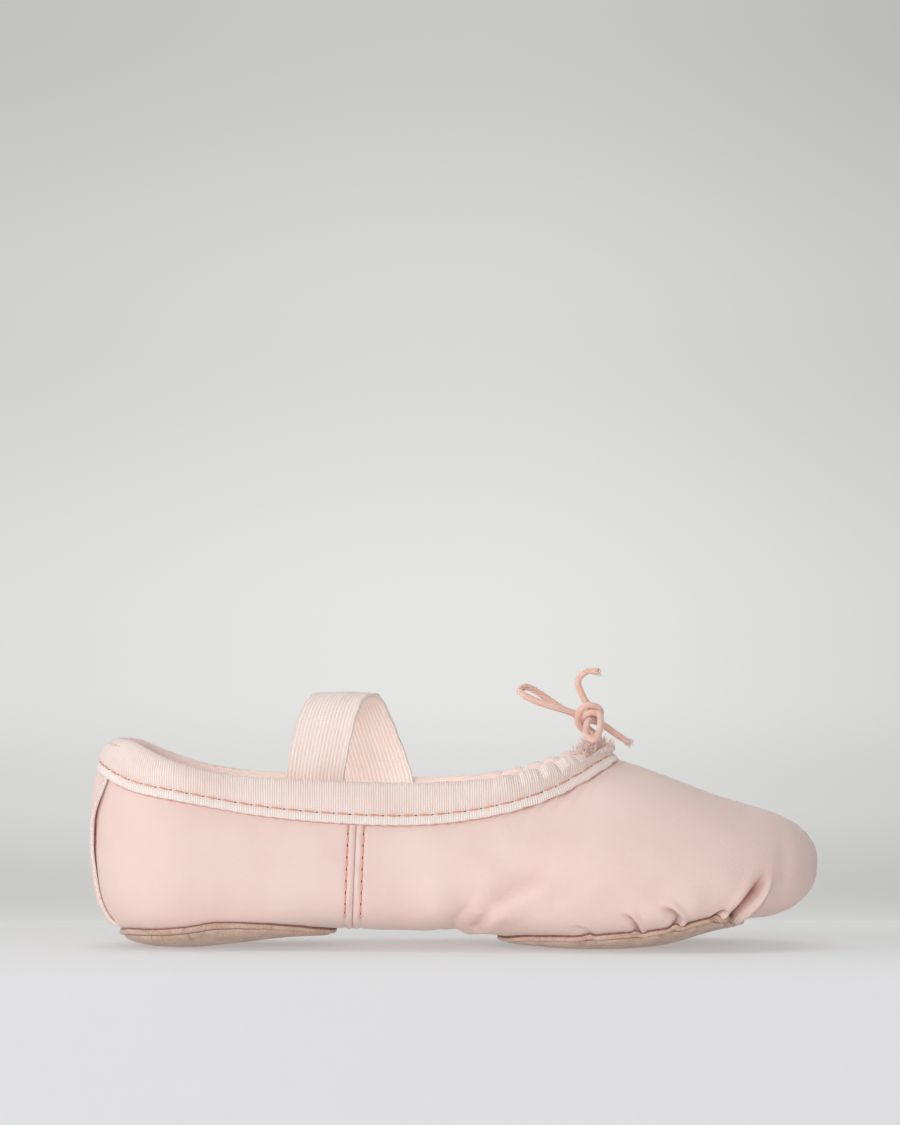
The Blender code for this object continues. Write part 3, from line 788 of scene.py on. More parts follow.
def fold_depth(fold, points, normals):
    """How far the fold moves each point along its normal, and how much painted shade it gives it."""
    line = fold.line
    flat = points.reshape(-1, 3)
    reach = fold.wide * 6
    near = np.all((flat > line.min(axis=0) - reach) & (flat < line.max(axis=0) + reach), axis=1)
    moved, shade = np.zeros(len(flat)), np.zeros(len(flat))
    if not near.any():
        return moved.reshape(points.shape[:-1]), shade.reshape(points.shape[:-1])
    here = flat[near]
    gaps = np.linalg.norm(here[:, None, :] - line[None, :, :], axis=2)
    nearest = gaps.argmin(axis=1)
    ahead = np.gradient(line, axis=0)[nearest]
    beside = np.cross(ahead, normals.reshape(-1, 3)[near])
    sign = np.sign((beside * (here - line[nearest])).sum(axis=1))
    along = nearest / (len(line) - 1)
    strength = ease(along / 0.12 + 0.55) * ease((1 - along) / 0.45)
    away = gaps.min(axis=1) / fold.wide
    crease = -np.where(sign > 0, np.exp(-((away / 0.62) ** 1.3)), np.exp(-((away / 1.5) ** 1.2)))
    roll = np.exp(-(((sign * away - 1.75) / 1.1) ** 2)) * fold.roll
    far_roll = np.exp(-(((sign * away + 3.2) / 1.7) ** 2)) * fold.roll * 0.35
    moved[near] = fold.deep * strength * (crease + roll + far_roll)
    inside = np.where(sign > 0, np.exp(-((away / 0.7) ** 2)), np.exp(-((away / 1.3) ** 2)))
    shade[near] = fold.dark * strength * inside
    return moved.reshape(points.shape[:-1]), shade.reshape(points.shape[:-1])


def hollow_depth(hollow, points, side):
    x, z, wide, tall, deep = hollow
    on_side = points[..., 1] * side > 0
    round_it = ((points[..., 0] - x) / wide) ** 2 + ((points[..., 2] - z) / tall) ** 2
    return np.where(on_side, -deep * np.exp(-round_it), 0.0)


def gathers(points):
    """Small upright puckers under the tape, strongest round the front of the opening."""
    x, y, z = points[..., 0], points[..., 1], points[..., 2]
    low = lower_height(x)
    below = np.clip((low - z) / 7.0, 0, 1)
    front = ease((x + 2) / 30.0) * ease((45.0 - x) / 8.0)
    along = x + 0.55 * np.abs(y)
    ripple = np.sin(along * 1.7 + 0.8 * np.sin(along * 0.61)) + 0.5 * np.sin(along * 0.83 + 1.0)
    return 0.2 * ripple * (1 - below) ** 2 * (0.12 + front)


# How much further out than its plain outline each patch is cut, along X.
forefoot_flare = spline(
    [(9, 0), (24, -0.5), (29, -0.4), (35, 0.6), (43, 1.9), (48, 2.9), (53, 4.2), (58.5, 5.6)]
    + [(62, 4.8), (65.5, 3.0), (68.5, 1.2), (71, 0)]
)
heel_flare = spline([(-81, 0.2), (-66, 0.9), (-53, 1.4), (-43, 1.0), (-28, 0.2)])
PLEATS_X = (43.8, 52.8, 62.4)


def cut_flare(x):
    """The patches' outward growth, with small cusps where the leather's pleats run in under them."""
    cusps = sum(0.55 * np.exp(-(((x - at) / 0.9) ** 2)) for at in PLEATS_X)
    return np.where(x > 0, forefoot_flare(x), heel_flare(x)) - cusps


def pad_share(x, y, pad):
    """0 at the middle of a sole and 1 at its cut edge."""
    centre, long, wide, power = pad
    reach = np.hypot(x - centre, y) + 1e-9
    bulk = np.abs((x - centre) / long) ** power + np.abs(y / wide) ** power + 1e-12
    plain = reach / bulk ** (1 / power)
    return reach / (plain + cut_flare(x))


def relief(points, normals):
    """How far each point of the leather stands off the smooth body. A sole holds it nearly flat."""
    x, y = points[..., 0], points[..., 1]
    move = 0.34 * fuzz(points, 17.0, 1) + 0.14 * fuzz(points, 6.0, 2)
    for hollows, side in ((NEAR_HOLLOWS, -1), (FAR_HOLLOWS, 1)):
        for hollow in hollows:
            move += hollow_depth(hollow, points, side)
    for fold in NEAR_FOLDS + FAR_FOLDS + TOE_FOLDS:
        move += fold_depth(fold, points, normals)[0]
    held = np.zeros_like(x)
    for pad in (FOREFOOT_SOLE, HEEL_SOLE):
        held = np.maximum(held, 1 - ease((pad_share(x, y, pad) - 0.93) / 0.07))
    return move * (1 - 0.85 * held * ease((-normals[..., 2] - 0.2) / 0.3))


def seam_relief(points):
    """The butted side seam: a groove, with the leather drawn in under its two rows of stitches."""
    away = np.abs(points[..., 0] - SIDE_SEAM_X)
    groove = -0.12 * np.exp(-((away / 0.2) ** 2))
    lips = 0.16 * np.exp(-(((away - 0.95) / 0.5) ** 2))
    drawn = -0.26 * np.exp(-(((away - SEAM_ROW) / 0.34) ** 2))
    return groove + lips + drawn


def leaned(points):
    """The side seams lean back a little as they go down."""
    near_seam = np.exp(-(((points[..., 0] - SIDE_SEAM_X) / 10.0) ** 2))
    points = points.copy()
    points[..., 0] += near_seam * 0.042 * (points[..., 2] - 18.0)
    return points


def shaped(grid):
    """The leather's real surface: the smooth body with its folds, hollows, puckers, seam and slack."""
    normals = normals_of(grid)
    move = relief(grid, normals) + gathers(grid) + seam_relief(grid)
    return leaned(grid + normals * move[..., None])


def mark_crease_shade(obj, grid, smooth):
    """Gives the mesh its painted shade in the creases and along the side seam, as the crease attribute, from
    the grid it was made of.
    """
    normals = normals_of(smooth)
    shade = sum(fold_depth(fold, smooth, normals)[1] for fold in NEAR_FOLDS + FAR_FOLDS + TOE_FOLDS)
    shade = shade + SEAM_SHADE * np.exp(-(((smooth[..., 0] - SIDE_SEAM_X) / 0.12) ** 2))
    shade = np.clip(shade, 0, 1).reshape(-1)
    flat = grid.reshape(-1, 3)
    dark = np.flatnonzero(shade > 0.004)
    tree = kdtree.KDTree(len(dark))
    for index in dark:
        tree.insert(flat[index] * MM, index)
    tree.balance()
    values = np.zeros(len(obj.data.vertices), np.float32)
    for vertex in obj.data.vertices:
        _, index, gap = tree.find(vertex.co)
        if index is not None and gap < 0.2 * MM:
            values[vertex.index] = shade[index]
    obj.data.attributes.new("crease", "FLOAT", "POINT").data.foreach_set("value", values)


def soft_throat(body):
    """Rounds the crease that the body's sections would leave across the front of the opening."""
    soft = body.copy()
    for row in range(LOW_ROWS // 2, body.shape[1]):
        line = body[:, row]
        way = way_along(line)
        span = np.gradient(way)
        pull = np.exp(-(((way[:, None] - way[None, :]) / THROAT_ROUND) ** 2)) * span[None, :]
        mean = pull @ line / pull.sum(axis=1, keepdims=True)
        share = np.exp(-(((line[:, 0] - 40.0) / 5.5) ** 2)) * ease((line[:, 2] - 24.0) / 8.0)
        soft[:, row] = line + (mean - line) * share[:, None]
    return soft


SEAM_HALF = loop_at(0.03) - loop_at(0.0)
# How much painted shade the side seam's middle line gets in the leather's colour.
SEAM_SHADE = 0.6
THROAT_ROUND = 3.0
HEEL_COLUMNS = np.linspace(0.0, 0.3, 70)
SEAM_STEPS = np.array((2.5, 2.1, 1.85, 1.6, 1.3, 1.0, 0.75, 0.55, 0.38, 0.24, 0.13, 0.05, 0.0))
SEAM_STEPS = loop_at(SEAM_STEPS) - loop_at(0.0)
REAR_SIDE_COLUMNS = np.linspace(0.3, SEAM_AT - SEAM_STEPS[0], 54)[1:-1]
REAR_SIDE_COLUMNS = np.concatenate([REAR_SIDE_COLUMNS, SEAM_AT - SEAM_HALF - SEAM_STEPS])
FRONT_SIDE_COLUMNS = np.linspace(SEAM_AT + SEAM_STEPS[0], 0.65, 42)[1:]
FRONT_SIDE_COLUMNS = np.concatenate([(SEAM_AT + SEAM_HALF + SEAM_STEPS)[::-1], FRONT_SIDE_COLUMNS])
FRONT_TURNS = np.arccos(1 - (1 - np.linspace(0, 1, 62)[1:]) ** 1.4)
FRONT_COLUMNS = 0.65 + 0.35 * (1 - FRONT_TURNS / (math.pi / 2))
CLOSED_X = np.linspace(39.6, TOE_X, 16)[1:]
TOE_TURNS = np.linspace(math.pi / 2, 0, 122)[1:]
BODY_ROWS = LOW_ROWS + WALL_ROWS - 1


def sections(stops, first, rows=None):
    """A grid of sections, each stop being (kind, value, side). rows is how many of each are kept."""
    grid = []
    for kind, value, side in stops:
        line = section(kind, value, first)[:rows]
        grid.append(line if side > 0 else mirrored(line))
    return np.array(grid)


def front_stops():
    """Open stops of one side, from the seam forward, and closed ones from the ridge's start to the toe."""
    opened = [("open", at, 1) for at in [*FRONT_SIDE_COLUMNS, *FRONT_COLUMNS]]
    closed = [("side", x, 1) for x in CLOSED_X] + [("toe", turn, 1) for turn in TOE_TURNS]
    return opened, closed


def close_middle(grid, row, opened=0):
    """Joins the two sides along a row on the middle line. The toe's columns all meet in one point there."""
    line = grid[opened : len(grid) - opened, row]
    line = (line + mirrored(line[::-1])) / 2 * (1, 0, 1)
    first = len(line) // 2 - len(TOE_TURNS)
    line[first : len(line) - first] = line[first]
    grid = grid.copy()
    grid[opened : len(grid) - opened, row] = line
    return grid


def front_object(name, first, inside=0.0):
    """The front upper or its lining: one skin round the toe, with a collar on each side."""
    opened, closed = front_stops()
    half = opened + closed[:-1]
    stops = [(k, v, -1) for k, v, _ in half] + [closed[-1]] + half[::-1]
    count = len(opened)
    smooth = soft_throat(sections(stops, first, BODY_ROWS))
    real = close_middle(shaped(smooth), -1, count - 1)
    real = real + normals_of(real) * inside
    real = close_middle(close_middle(real, -1, count - 1), 0)
    pieces = [grid_object(name, real)]
    for part in (slice(0, count), slice(-count, None)):
        collar = sections(stops[part], first)[:, BODY_ROWS - 1 :]
        collar = collar + normals_of(collar) * inside
        collar[:, 0] = real[part][:, -1]
        pieces.append(grid_object(name + "_collar", collar))
    obj = weld(joined(name, pieces))
    if not inside:
        mark_crease_shade(obj, real, smooth)
    return obj, real


def back_stops():
    return [("open", at, 1) for at in [*HEEL_COLUMNS, *REAR_SIDE_COLUMNS][::-1]]


def quarter_object(name, side):
    """One back quarter. It meets the other at the back seam and along the middle of the underside."""
    grid = sections(back_stops(), 0.06)
    grid[-1, :, 1] = 0.06
    if side < 0:
        grid = mirrored(grid)[::-1]
    real = shaped(grid)
    real[:, 0, 1] = side * 0.04
    obj = grid_object(name, real)
    mark_crease_shade(obj, real, grid)
    return thicken(obj, LEATHER)


def quarter_lining_object():
    stops = back_stops()
    stops = stops + [(k, v, -1) for k, v, _ in stops[:-1][::-1]]
    real = shaped(sections(stops, 0.02))
    real = real - normals_of(real) * LINING_IN
    real[:, 0, 1] = 0
    return thicken(weld(grid_object("heel_lining", real)), LINING), real


def lay_folds():
    opened, closed = front_stops()
    far_side = sections(opened + closed, 0.35, BODY_ROWS)
    for folds, side in ((NEAR_FOLDS, -1), (FAR_FOLDS, 1), (TOE_FOLDS, 0)):
        body = np.concatenate([far_side, mirrored(far_side)]) if side == 0 else far_side * (1, side, 1)
        for fold in folds:
            lay_fold(fold, body, side)


lay_folds()

for side_name, side in (("left", 1), ("right", -1)):
    quarter = quarter_object("leather_quarter_" + side_name, side)
    paint(quarter, LEATHER_LOOK)
    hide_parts("quarter_" + side_name)
    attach(quarter, "heel")

heel_lining, lining_grid = quarter_lining_object()
paint(heel_lining, COTTON_LOOK)
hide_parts("quarter_lining")
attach(heel_lining, "heel")

vamp, _ = front_object("leather_vamp", 0.35)
paint(thicken(vamp, LEATHER), LEATHER_LOOK)
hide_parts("vamp")
bend_with_vamp(vamp)

toe_lining, lining_grid = front_object("toe_lining", 0.02, -LINING_IN)
paint(thicken(toe_lining, LINING), COTTON_LOOK)
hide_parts("vamp_lining")
bend_with_vamp(toe_lining)

# ---------------------------------------------------------------- the casing tape and its stitches

EXIT_AT = 0.962
TAPE_LEAN = 1.3


def loop_place(line, q):
    """Points of a line round the opening. q is 0 at the back, 1 at the front and below 0 on the right."""
    q = (np.asarray(q, float) + 1) % 2 - 1
    points = line(np.abs(q))
    return points * np.stack([np.ones_like(q), np.where(q < 0, -1.0, 1.0), np.ones_like(q)], -1)


def loop_frame(q):
    """The tape's own frame at each q: its lower point, its outward and upward directions, and its height."""
    low, high = loop_place(lower_line, q), loop_place(top_line, q)
    step = 0.004
    ahead = loop_place(lower_line, q + step) + loop_place(top_line, q + step)
    behind = loop_place(lower_line, q - step) + loop_place(top_line, q - step)
    up = high - low
    tall = np.linalg.norm(up, axis=1, keepdims=True)
    up = up / tall
    out = np.cross(up, ahead - behind)
    return low, unit(out), up, tall[:, 0]


def even_q(start, end, step):
    """Values of q evenly spaced along the tape's lower line, and the distance along it."""
    fine = np.linspace(start, end, 3000)
    way = way_along(loop_place(lower_line, fine))
    at = np.linspace(0, way[-1], int(round(way[-1] / step)) + 1)
    return np.interp(at, way, fine), at


# Where the gathered tape is pinched in, and how far it swells out before the next pinch.
NEAR_PINCHES = [(-6.0, 0.2), (2.5, 0.35), (9.5, 0.6), (16.6, 0.95), (22.4, 1.15)]
NEAR_PINCHES += [(26.8, 1.25), (31.6, 0.4)]
FAR_PINCHES = [(-2.0, 0.25), (6.0, 0.45), (13.0, 0.8), (19.0, 1.0), (24.0, 1.2)]
FAR_PINCHES += [(28.4, 1.1), (32.4, 0.4)]
TUFT_X = 36.6


def bunching(x):
    """How hard the drawstring gathers the tape: hardly at the heel, and most at the front."""
    return 0.1 + 0.9 * ease((x - 2) / 20.0)


def swelling(q, x, way):
    """The tape's bumps and the pinched places between them."""
    bumps = np.zeros_like(x)
    for pinches, side in ((NEAR_PINCHES, q < 0), (FAR_PINCHES, q > 0)):
        for (start, height), (end, _) in zip(pinches[:-1], pinches[1:]):
            share = np.clip((x - start) / (end - start), 0, 1)
            bumps += side * height * (1 - np.abs(2 * share - 1) ** 2.6) * (share > 0) * (share < 1)
    return bumps - 0.35 * bunching(x) + 0.12 * np.sin(way * 2.9 + 2 * np.sin(way * 0.6)) * bunching(x)


def crush(x):
    """How tall the tape still stands where its ends are crushed under the knot."""
    return 1 - 0.3 * ease((x - TUFT_X) / 3.0)


def heel_lean(x):
    """How far in the tape leans round the back of the heel, as a share."""
    return ease((-70.0 - x) / 12.0)


def tape_grid(q, way):
    """The tape's outer face: flat under the stitches, puffed over the cord, folded, and down inside."""
    low, out, up, tall = loop_frame(q)
    x = low[:, 0]
    swell = swelling(q, x, way)
    shrink = crush(x)
    half = STACK / 2 + GAP + TAPE
    middle = GAP + TAPE - half
    fold = tall - half + 0.75 * swell
    behind = ease((-78.0 - x) / 6.0) * 0.5
    outer = [(0.0, 0.6), (0.3, 0.86), (0.9, 0.94), (1.6, 0.9), (2.05, 0.72), (STITCH_UP, 0.3)]
    outer += [(STITCH_UP + 0.3, 0.62), (STITCH_UP + 0.8, 1.15), (4.2, 1.5)]
    rows = [(np.full_like(x, level), off + behind) for level, off in outer]
    for share, off in ((0.25, 1.78), (0.5, 1.86), (0.75, 1.7)):
        rows.append((4.2 + share * (fold - 4.2), off + 0.5 * swell))
    for turn in np.linspace(0.0, math.pi, 13):
        puff = 0.4 * swell * max(math.cos(turn), 0) + 0.2 * swell
        far = half + 0.28 * math.cos(turn) ** 2
        rows.append((fold + (half + 0.1) * math.sin(turn), middle + far * math.cos(turn) + puff))
    for share, off in ((0.75, -2.95), (0.4, -2.9), (0.15, -2.75)):
        rows.append((2.6 + share * (fold - 2.6), off - 0.25 * swell))
    for level, off in ((2.6, -2.45), (2.0, -2.6), (1.4, -2.75)):
        rows.append((np.full_like(x, level), np.full_like(x, off)))
    lift = 0.1 * np.sin(way * 0.9) * bunching(x) + 0.05 * np.sin(way * 2.3)
    grid = []
    for level, off in rows:
        lean = heel_lean(x) * np.clip((level - STITCH_UP) / (fold - STITCH_UP), 0, 1.3) * TAPE_LEAN
        grid.append(low + (off - lean)[:, None] * out + (level * shrink + lift)[:, None] * up)
    return np.stack(grid, axis=1)


STITCH_SIDES = STITCH_RINGS = 7


def capsule(start, end, radius, outward, arch):
    """Points and faces of one stitch, a rounded bar that dips into the cloth at both ends."""
    sides, count = STITCH_SIDES, STITCH_RINGS
    start, end = np.asarray(start, float), np.asarray(end, float)
    shares = np.linspace(0, 1, count)
    path = start + shares[:, None] * (end - start)
    path = path + np.asarray(outward) * (arch * np.sin(shares * math.pi))[:, None]
    size = radius * np.sqrt(np.clip(1 - (2 * shares - 1) ** 4, 0.02, 1))
    ahead = unit(end - start)
    side = unit(np.cross(ahead, outward))
    other = np.cross(side, ahead)
    turns = np.linspace(0, 2 * math.pi, sides, endpoint=False)
    points = []
    for place, wide in zip(path, size):
        points += [place + wide * (math.cos(t) * side + math.sin(t) * other) for t in turns]
    faces = [quad[::-1] for quad in grid_faces(count, sides, close_rows=True)]
    faces.append(tuple(range(sides))[::-1])
    faces.append(tuple((count - 1) * sides + k for k in range(sides)))
    return points, faces


def stitches_object(name, bars, radius, arch):
    """One object of many stitches. bars are (start, end, outward)."""
    points, faces = [], []
    for start, end, outward in bars:
        more, quads = capsule(start, end, radius, outward, arch)
        faces += [tuple(i + len(points) for i in quad) for quad in quads]
        points += more
    return weld(mesh_object(name, points, faces), 0.0005)


Q_TAPE, WAY_TAPE = even_q(EXIT_AT, -EXIT_AT, 0.4)
tape_points = tape_grid(Q_TAPE, WAY_TAPE)
tape = grid_object("casing_tape", tape_points)
thicken(tape, 0.6)
paint(tape, TAPE_LOOK)
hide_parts("binding")
bend_with_vamp(tape)


def tape_spot(q, height, off):
    """A point on the tape at a height up it, and off millimetres out of the leather's plane."""
    low, out, up, _ = loop_frame(np.atleast_1d(q))
    height = height * crush(low[0, 0])
    off = off + ease((-78.0 - low[0, 0]) / 6.0) * 0.5
    return low[0] + off * out[0] + height * up[0], out[0]


TOPLINE_PITCH = 3.9
q_stitch, _ = even_q(EXIT_AT - 0.004, -EXIT_AT + 0.004, TOPLINE_PITCH / 10)
bars, holes = [], []
for i in range(0, len(q_stitch) - 8, 10):
    start, out = tape_spot(q_stitch[i], STITCH_UP, 0.42)
    end, _ = tape_spot(q_stitch[i + 7], STITCH_UP - 0.12, 0.42)
    bars.append((start, end, out))
    hole_end, _ = tape_spot(q_stitch[min(i + 9, len(q_stitch) - 1)], STITCH_UP - 0.05, 0.36)
    holes.append((end, hole_end, out))
topline = stitches_object("topline_stitches", bars, 0.24, 0.14)
paint(topline, THREAD_LOOK)
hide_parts("topline_thread")
bend_with_vamp(topline)
# Painted shade in the needle holes between the topline stitches.
topline_hole_shade = paint(stitches_object("topline_hole_shade", holes, 0.14, 0.05), HOLE_SHADE_LOOK)
bend_with_vamp(topline_hole_shade)

# Painted shade: a thin darker orange tube along the tape's lower edge stands in for the shade where the tape
# meets the leather.
q_edge, _ = even_q(EXIT_AT, -EXIT_AT, 0.8)
edge_low, edge_out, edge_up, _ = loop_frame(q_edge)
edge_path = edge_low + 0.42 * edge_out - 0.02 * edge_up
edge_path[:, 2] += 0.1 * np.sin(np.arange(len(edge_path)) * 1.6)
edge_shade_line = tube_object("tape_edge_shade_line", edge_path, 0.15, 8)
paint(edge_shade_line, plain_look("edge_shade_line", "d99884", "e9b7a6", 0.7, 2.0))
bend_with_vamp(edge_shade_line)

q_cord, _ = even_q(EXIT_AT - 0.01, -EXIT_AT + 0.01, 1.0)
cord_low, cord_out, cord_up, cord_tall = loop_frame(q_cord)
casing_path = cord_low - 0.85 * cord_out + (cord_tall - TAPE - STACK / 2 - GAP)[:, None] * cord_up
casing_cord = paint(tube_object("casing_cord", casing_path, 0.8), CORD_LOOK)
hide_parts("drawstring")
bend_with_vamp(casing_cord)


def strands_object(name, strands, look):
    """One object of many loose fibres. strands are (points, radius)."""
    points, faces = [], []
    for path, radius in strands:
        ring = tube_grid(path, radius * np.linspace(1, 0.55, len(path)), 5)[:, :-1]
        quads = grid_faces(len(ring), 5, close_rows=True)
        faces += [tuple(i + len(points) for i in quad) for quad in quads]
        points += [tuple(p) for p in ring.reshape(-1, 3)]
    return paint(mesh_object(name, points, faces), look)


def frayed_ends(count, seed, longest):
    """Fibres that stand off the tape's raw ends, either side of the knot."""
    random = np.random.default_rng(seed)
    strands = []
    for i in range(count):
        side = 1 if i % 3 == 0 else -1
        q = side * random.uniform(0.86, 0.968)
        low, out, up, tall = loop_frame(np.atleast_1d(q))
        height = random.uniform(0.6, 1.04) * float(tall[0] * crush(low[0, 0]))
        start = low[0] + up[0] * height + out[0] * random.uniform(-2.0, 1.4)
        lean = out[0] * random.uniform(-0.8, 0.9) + up[0] * random.uniform(0.3, 1.2)
        lean = unit(lean + np.array((random.uniform(-0.4, 1.1), 0.0, random.uniform(0.0, 0.5))))
        curl = random.normal(0, 0.5, 3)
        along = np.linspace(0, random.uniform(0.45, 1.0) * longest, 6)[:, None]
        path = start + lean * along + curl * along**2 / longest * 0.5
        path[:, 2] -= 0.12 * along[:, 0] ** 2 / longest
        strands.append((path, random.uniform(0.09, 0.16)))
    return strands


FRAY_PALE = plain_look("frayed_pale", "f7e6de", "efd2c7", 0.85, 2.0)
FRAY_RED = plain_look("frayed_red", "cf8b79", "e2a998", 0.85, 2.0)
bend_with_vamp(strands_object("frayed_pale", frayed_ends(620, 11, 2.6), FRAY_PALE))
bend_with_vamp(strands_object("frayed_red", frayed_ends(90, 12, 2.2), FRAY_RED))

# ---------------------------------------------------------------- soles, socks, backstay and side seams

SOCK = 0.8
PAD_TURNS = np.linspace(0, 2 * math.pi, 321)


def underside(x, y):
    """Points of the smooth body's underside, and the outward directions there."""
    step = 0.05
    slope_x = (under(x + step, y) - under(x - step, y)) / (2 * step)
    slope_y = (under(x, y + step) - under(x, y - step)) / (2 * step)
    out = np.stack([slope_x, slope_y, -np.ones_like(slope_x)], -1)
    return np.stack([x, y, under(x, y)], -1), unit(out)


def pad_place(pad, inset, unevenness, size=1.0):
    """Points inset millimetres inside a pad's cut edge, which wanders a little, as a share of their size."""
    centre, long, wide, power = pad
    c, s = np.cos(PAD_TURNS), np.sin(PAD_TURNS)
    x = long * np.sign(c) * np.abs(c) ** (2 / power)
    y = wide * np.sign(s) * np.abs(s) ** (2 / power)
    edge = np.stack([x, y, np.full_like(x, centre)], -1)
    wander = cut_flare(x + centre) + 0.35 * fuzz(edge, 6.0, 4) + 0.14 * fuzz(edge, 2.0, 5)
    reach = np.hypot(x, y) + unevenness * wander
    share = size * (reach - inset) / np.hypot(x, y)
    return centre + x * share, y * share


def pad_grid(pad, rows, unevenness=1.0, floor=None):
    """A grid over the underside. rows are (distance in from the rim, distance off the body, size)."""
    grid = []
    for inset, off, *size in rows:
        x, y = pad_place(pad, inset, unevenness, *size)
        points, out = underside(x, y)
        lift = np.clip(relief(points, out), -0.45, 0.35)
        points = points + out * (off + lift)[:, None]
        if floor is not None:
            height = points[:, 2] - floor
            points[:, 2] = floor + 0.5 * (height + np.hypot(height, 0.12)) - 0.02
        grid.append(points)
    grid = np.stack(grid, axis=1)
    grid[-1] = grid[0]
    return grid


def inner_rows(last, off, count):
    """Rows from a pad's middle out to a distance from its rim."""
    return [(last, off, size) for size in np.linspace(0, 1, count)]


SOLE_RIM = [(3.0, 1.78), (2.2, 1.74), (1.75, 1.64), (1.45, 1.42), (1.25, 1.2), (1.05, 1.12), (0.85, 1.22)]
SOLE_RIM += [(0.6, 1.36), (0.3, 1.3), (0.1, 1.12), (0.0, 0.85), (-0.02, 0.55)]
SOLE_EDGE = [(-0.04, 0.34), (0.0, 0.16), (0.12, 0.02)]
SOLE_GROOVE_ROW = 5


def sole_object(name, pad):
    rows = inner_rows(3.6, GAP + SUEDE, 26) + SOLE_RIM + SOLE_EDGE
    grid = pad_grid(pad, rows, floor=0.02)
    obj = grid_object(name, grid)
    obj.data.materials.append(SUEDE_LOOK)
    obj.data.materials.append(SUEDE_EDGE)
    edge_from = len(rows) - len(SOLE_EDGE) - 1
    groove_from = len(rows) - len(SOLE_EDGE) - len(SOLE_RIM) + SOLE_GROOVE_ROW - 1
    for index, face in enumerate(obj.data.polygons):
        row = index % (len(rows) - 1)
        face.material_index = int(row >= edge_from or row == groove_from)
    return weld(obj)


forefoot_sole = sole_object("suede_forefoot", FOREFOOT_SOLE)
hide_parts("forefoot_sole")
bend_with_vamp(forefoot_sole)
heel_sole = sole_object("suede_heel", HEEL_SOLE)
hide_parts("heel_sole")
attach(heel_sole, "heel")


def sock_object(name, pad):
    base = -(STACK + GAP + 0.2)
    rows = inner_rows(3.0, base - SOCK - 0.15, 16)
    rows += [(2.0, base - SOCK - 0.1), (1.2, base - SOCK), (0.6, base - 0.68), (0.2, base - 0.45)]
    rows += [(0.0, base - 0.2), (0.02, base)] + inner_rows(2.0, base, 6)[::-1]
    obj = weld(grid_object(name, pad_grid(pad, rows, 0.1)))
    paint(obj, SOCK_LOOK)
    return obj


toe_sock = sock_object("toe_sock", FOREFOOT_SOCK)
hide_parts("forefoot_sock")
bend_with_vamp(toe_sock)
heel_pad = sock_object("heel_pad", HEEL_SOCK)
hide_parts("heel_sock")
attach(heel_pad, "heel")

stay_half = spline([(3, 5.2), (8, 6.0), (22, 6.4), (32, 7.2), (40, 9.2), (46, 9.8)])
STAY_LOW = 3.4


def backstay_grid():
    """The strip over the back seam, dipping under the heel sole and up under the tape."""
    ats = np.linspace(0, 0.13, 30)
    fine = np.array([section("open", at, 0.55) for at in ats])
    spread = np.linspace(1, -1, 41)
    rows = []
    for k in range(fine.shape[1]):
        middle = fine[0, k]
        if middle[2] < STAY_LOW or middle[0] > -74 or k > LOW_ROWS + WALL_ROWS + 1:
            continue
        way = way_along(fine[:, k])
        at = np.abs(spread) * stay_half(middle[2])
        row = np.stack([np.interp(at, way, fine[:, k, i]) for i in range(3)], -1)
        row[:, 1] *= np.sign(spread)
        rows.append(row)
    grid = np.stack(rows, axis=1)
    real = shaped(grid)
    proud = np.abs(spread)[:, None] ** 8 * np.exp(-(((grid[..., 2] - 30) / 9) ** 2)) * 0.75
    sunk = ease((grid[..., 2] - 4.0) / 2.6)
    return real + normals_of(real) * ((0.15 + LEATHER) * sunk + proud)[..., None]


stay_points = backstay_grid()
backstay = thicken(grid_object("leather_backstay", stay_points), LEATHER)
backstay.modifiers["thickness"].material_offset_rim = 1
paint(backstay, LEATHER_LOOK)
backstay.data.materials.append(RAW_EDGE)
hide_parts("backstay")
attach(backstay, "heel")


def stitch_run(path, out, pitch, dash):
    """(start, end, outward) of stitches along a path, and the short gaps between them."""
    way = way_along(path)
    count = int(way[-1] / pitch)

    def at(distance):
        return np.array([np.interp(distance, way, path[:, k]) for k in range(3)])

    def outward(distance):
        return unit(np.array([np.interp(distance, way, out[:, k]) for k in range(3)]))

    bars, gaps = [], []
    for i in range(count):
        start, end = i * pitch + 0.3, i * pitch + 0.3 + dash
        bars.append((at(start), at(end), outward(start)))
        gaps.append((at(end - 0.1), at(min(i * pitch + pitch + 0.4, way[-1])), outward(end)))
    return bars, gaps


seam_bars, seam_gaps = {1: [], -1: []}, {1: [], -1: []}
for row_x in (SIDE_SEAM_X - SEAM_ROW, SIDE_SEAM_X + SEAM_ROW):
    at = loop_at(row_x)
    strip = np.array([section("open", a, 0.8) for a in (at + 0.002, at, at - 0.002)])
    for side in (1, -1):
        grid = strip if side > 0 else mirrored(strip)[::-1]
        real = shaped(grid)
        out = normals_of(real)[1]
        kept = np.arange(LOW_ROWS + WALL_ROWS + 1)
        bars, gaps = stitch_run((real[1] + out * 0.06)[kept], out[kept], 2.8, 2.1)
        seam_bars[side] += bars
        seam_gaps[side] += gaps
for side, name in ((1, "left"), (-1, "right")):
    seam = stitches_object("seam_stitches_" + name, seam_bars[side], 0.24, 0.14)
    paint(seam, THREAD_LOOK)
    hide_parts("side_thread_" + name)
    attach(seam, "heel")
    # Painted shade in the needle holes between the seam stitches.
    gaps = stitches_object("seam_hole_shade_" + name, seam_gaps[side], 0.16, -0.03)
    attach(paint(gaps, HOLE_SHADE_LOOK), "heel")

# ---------------------------------------------------------------- the elastic strap

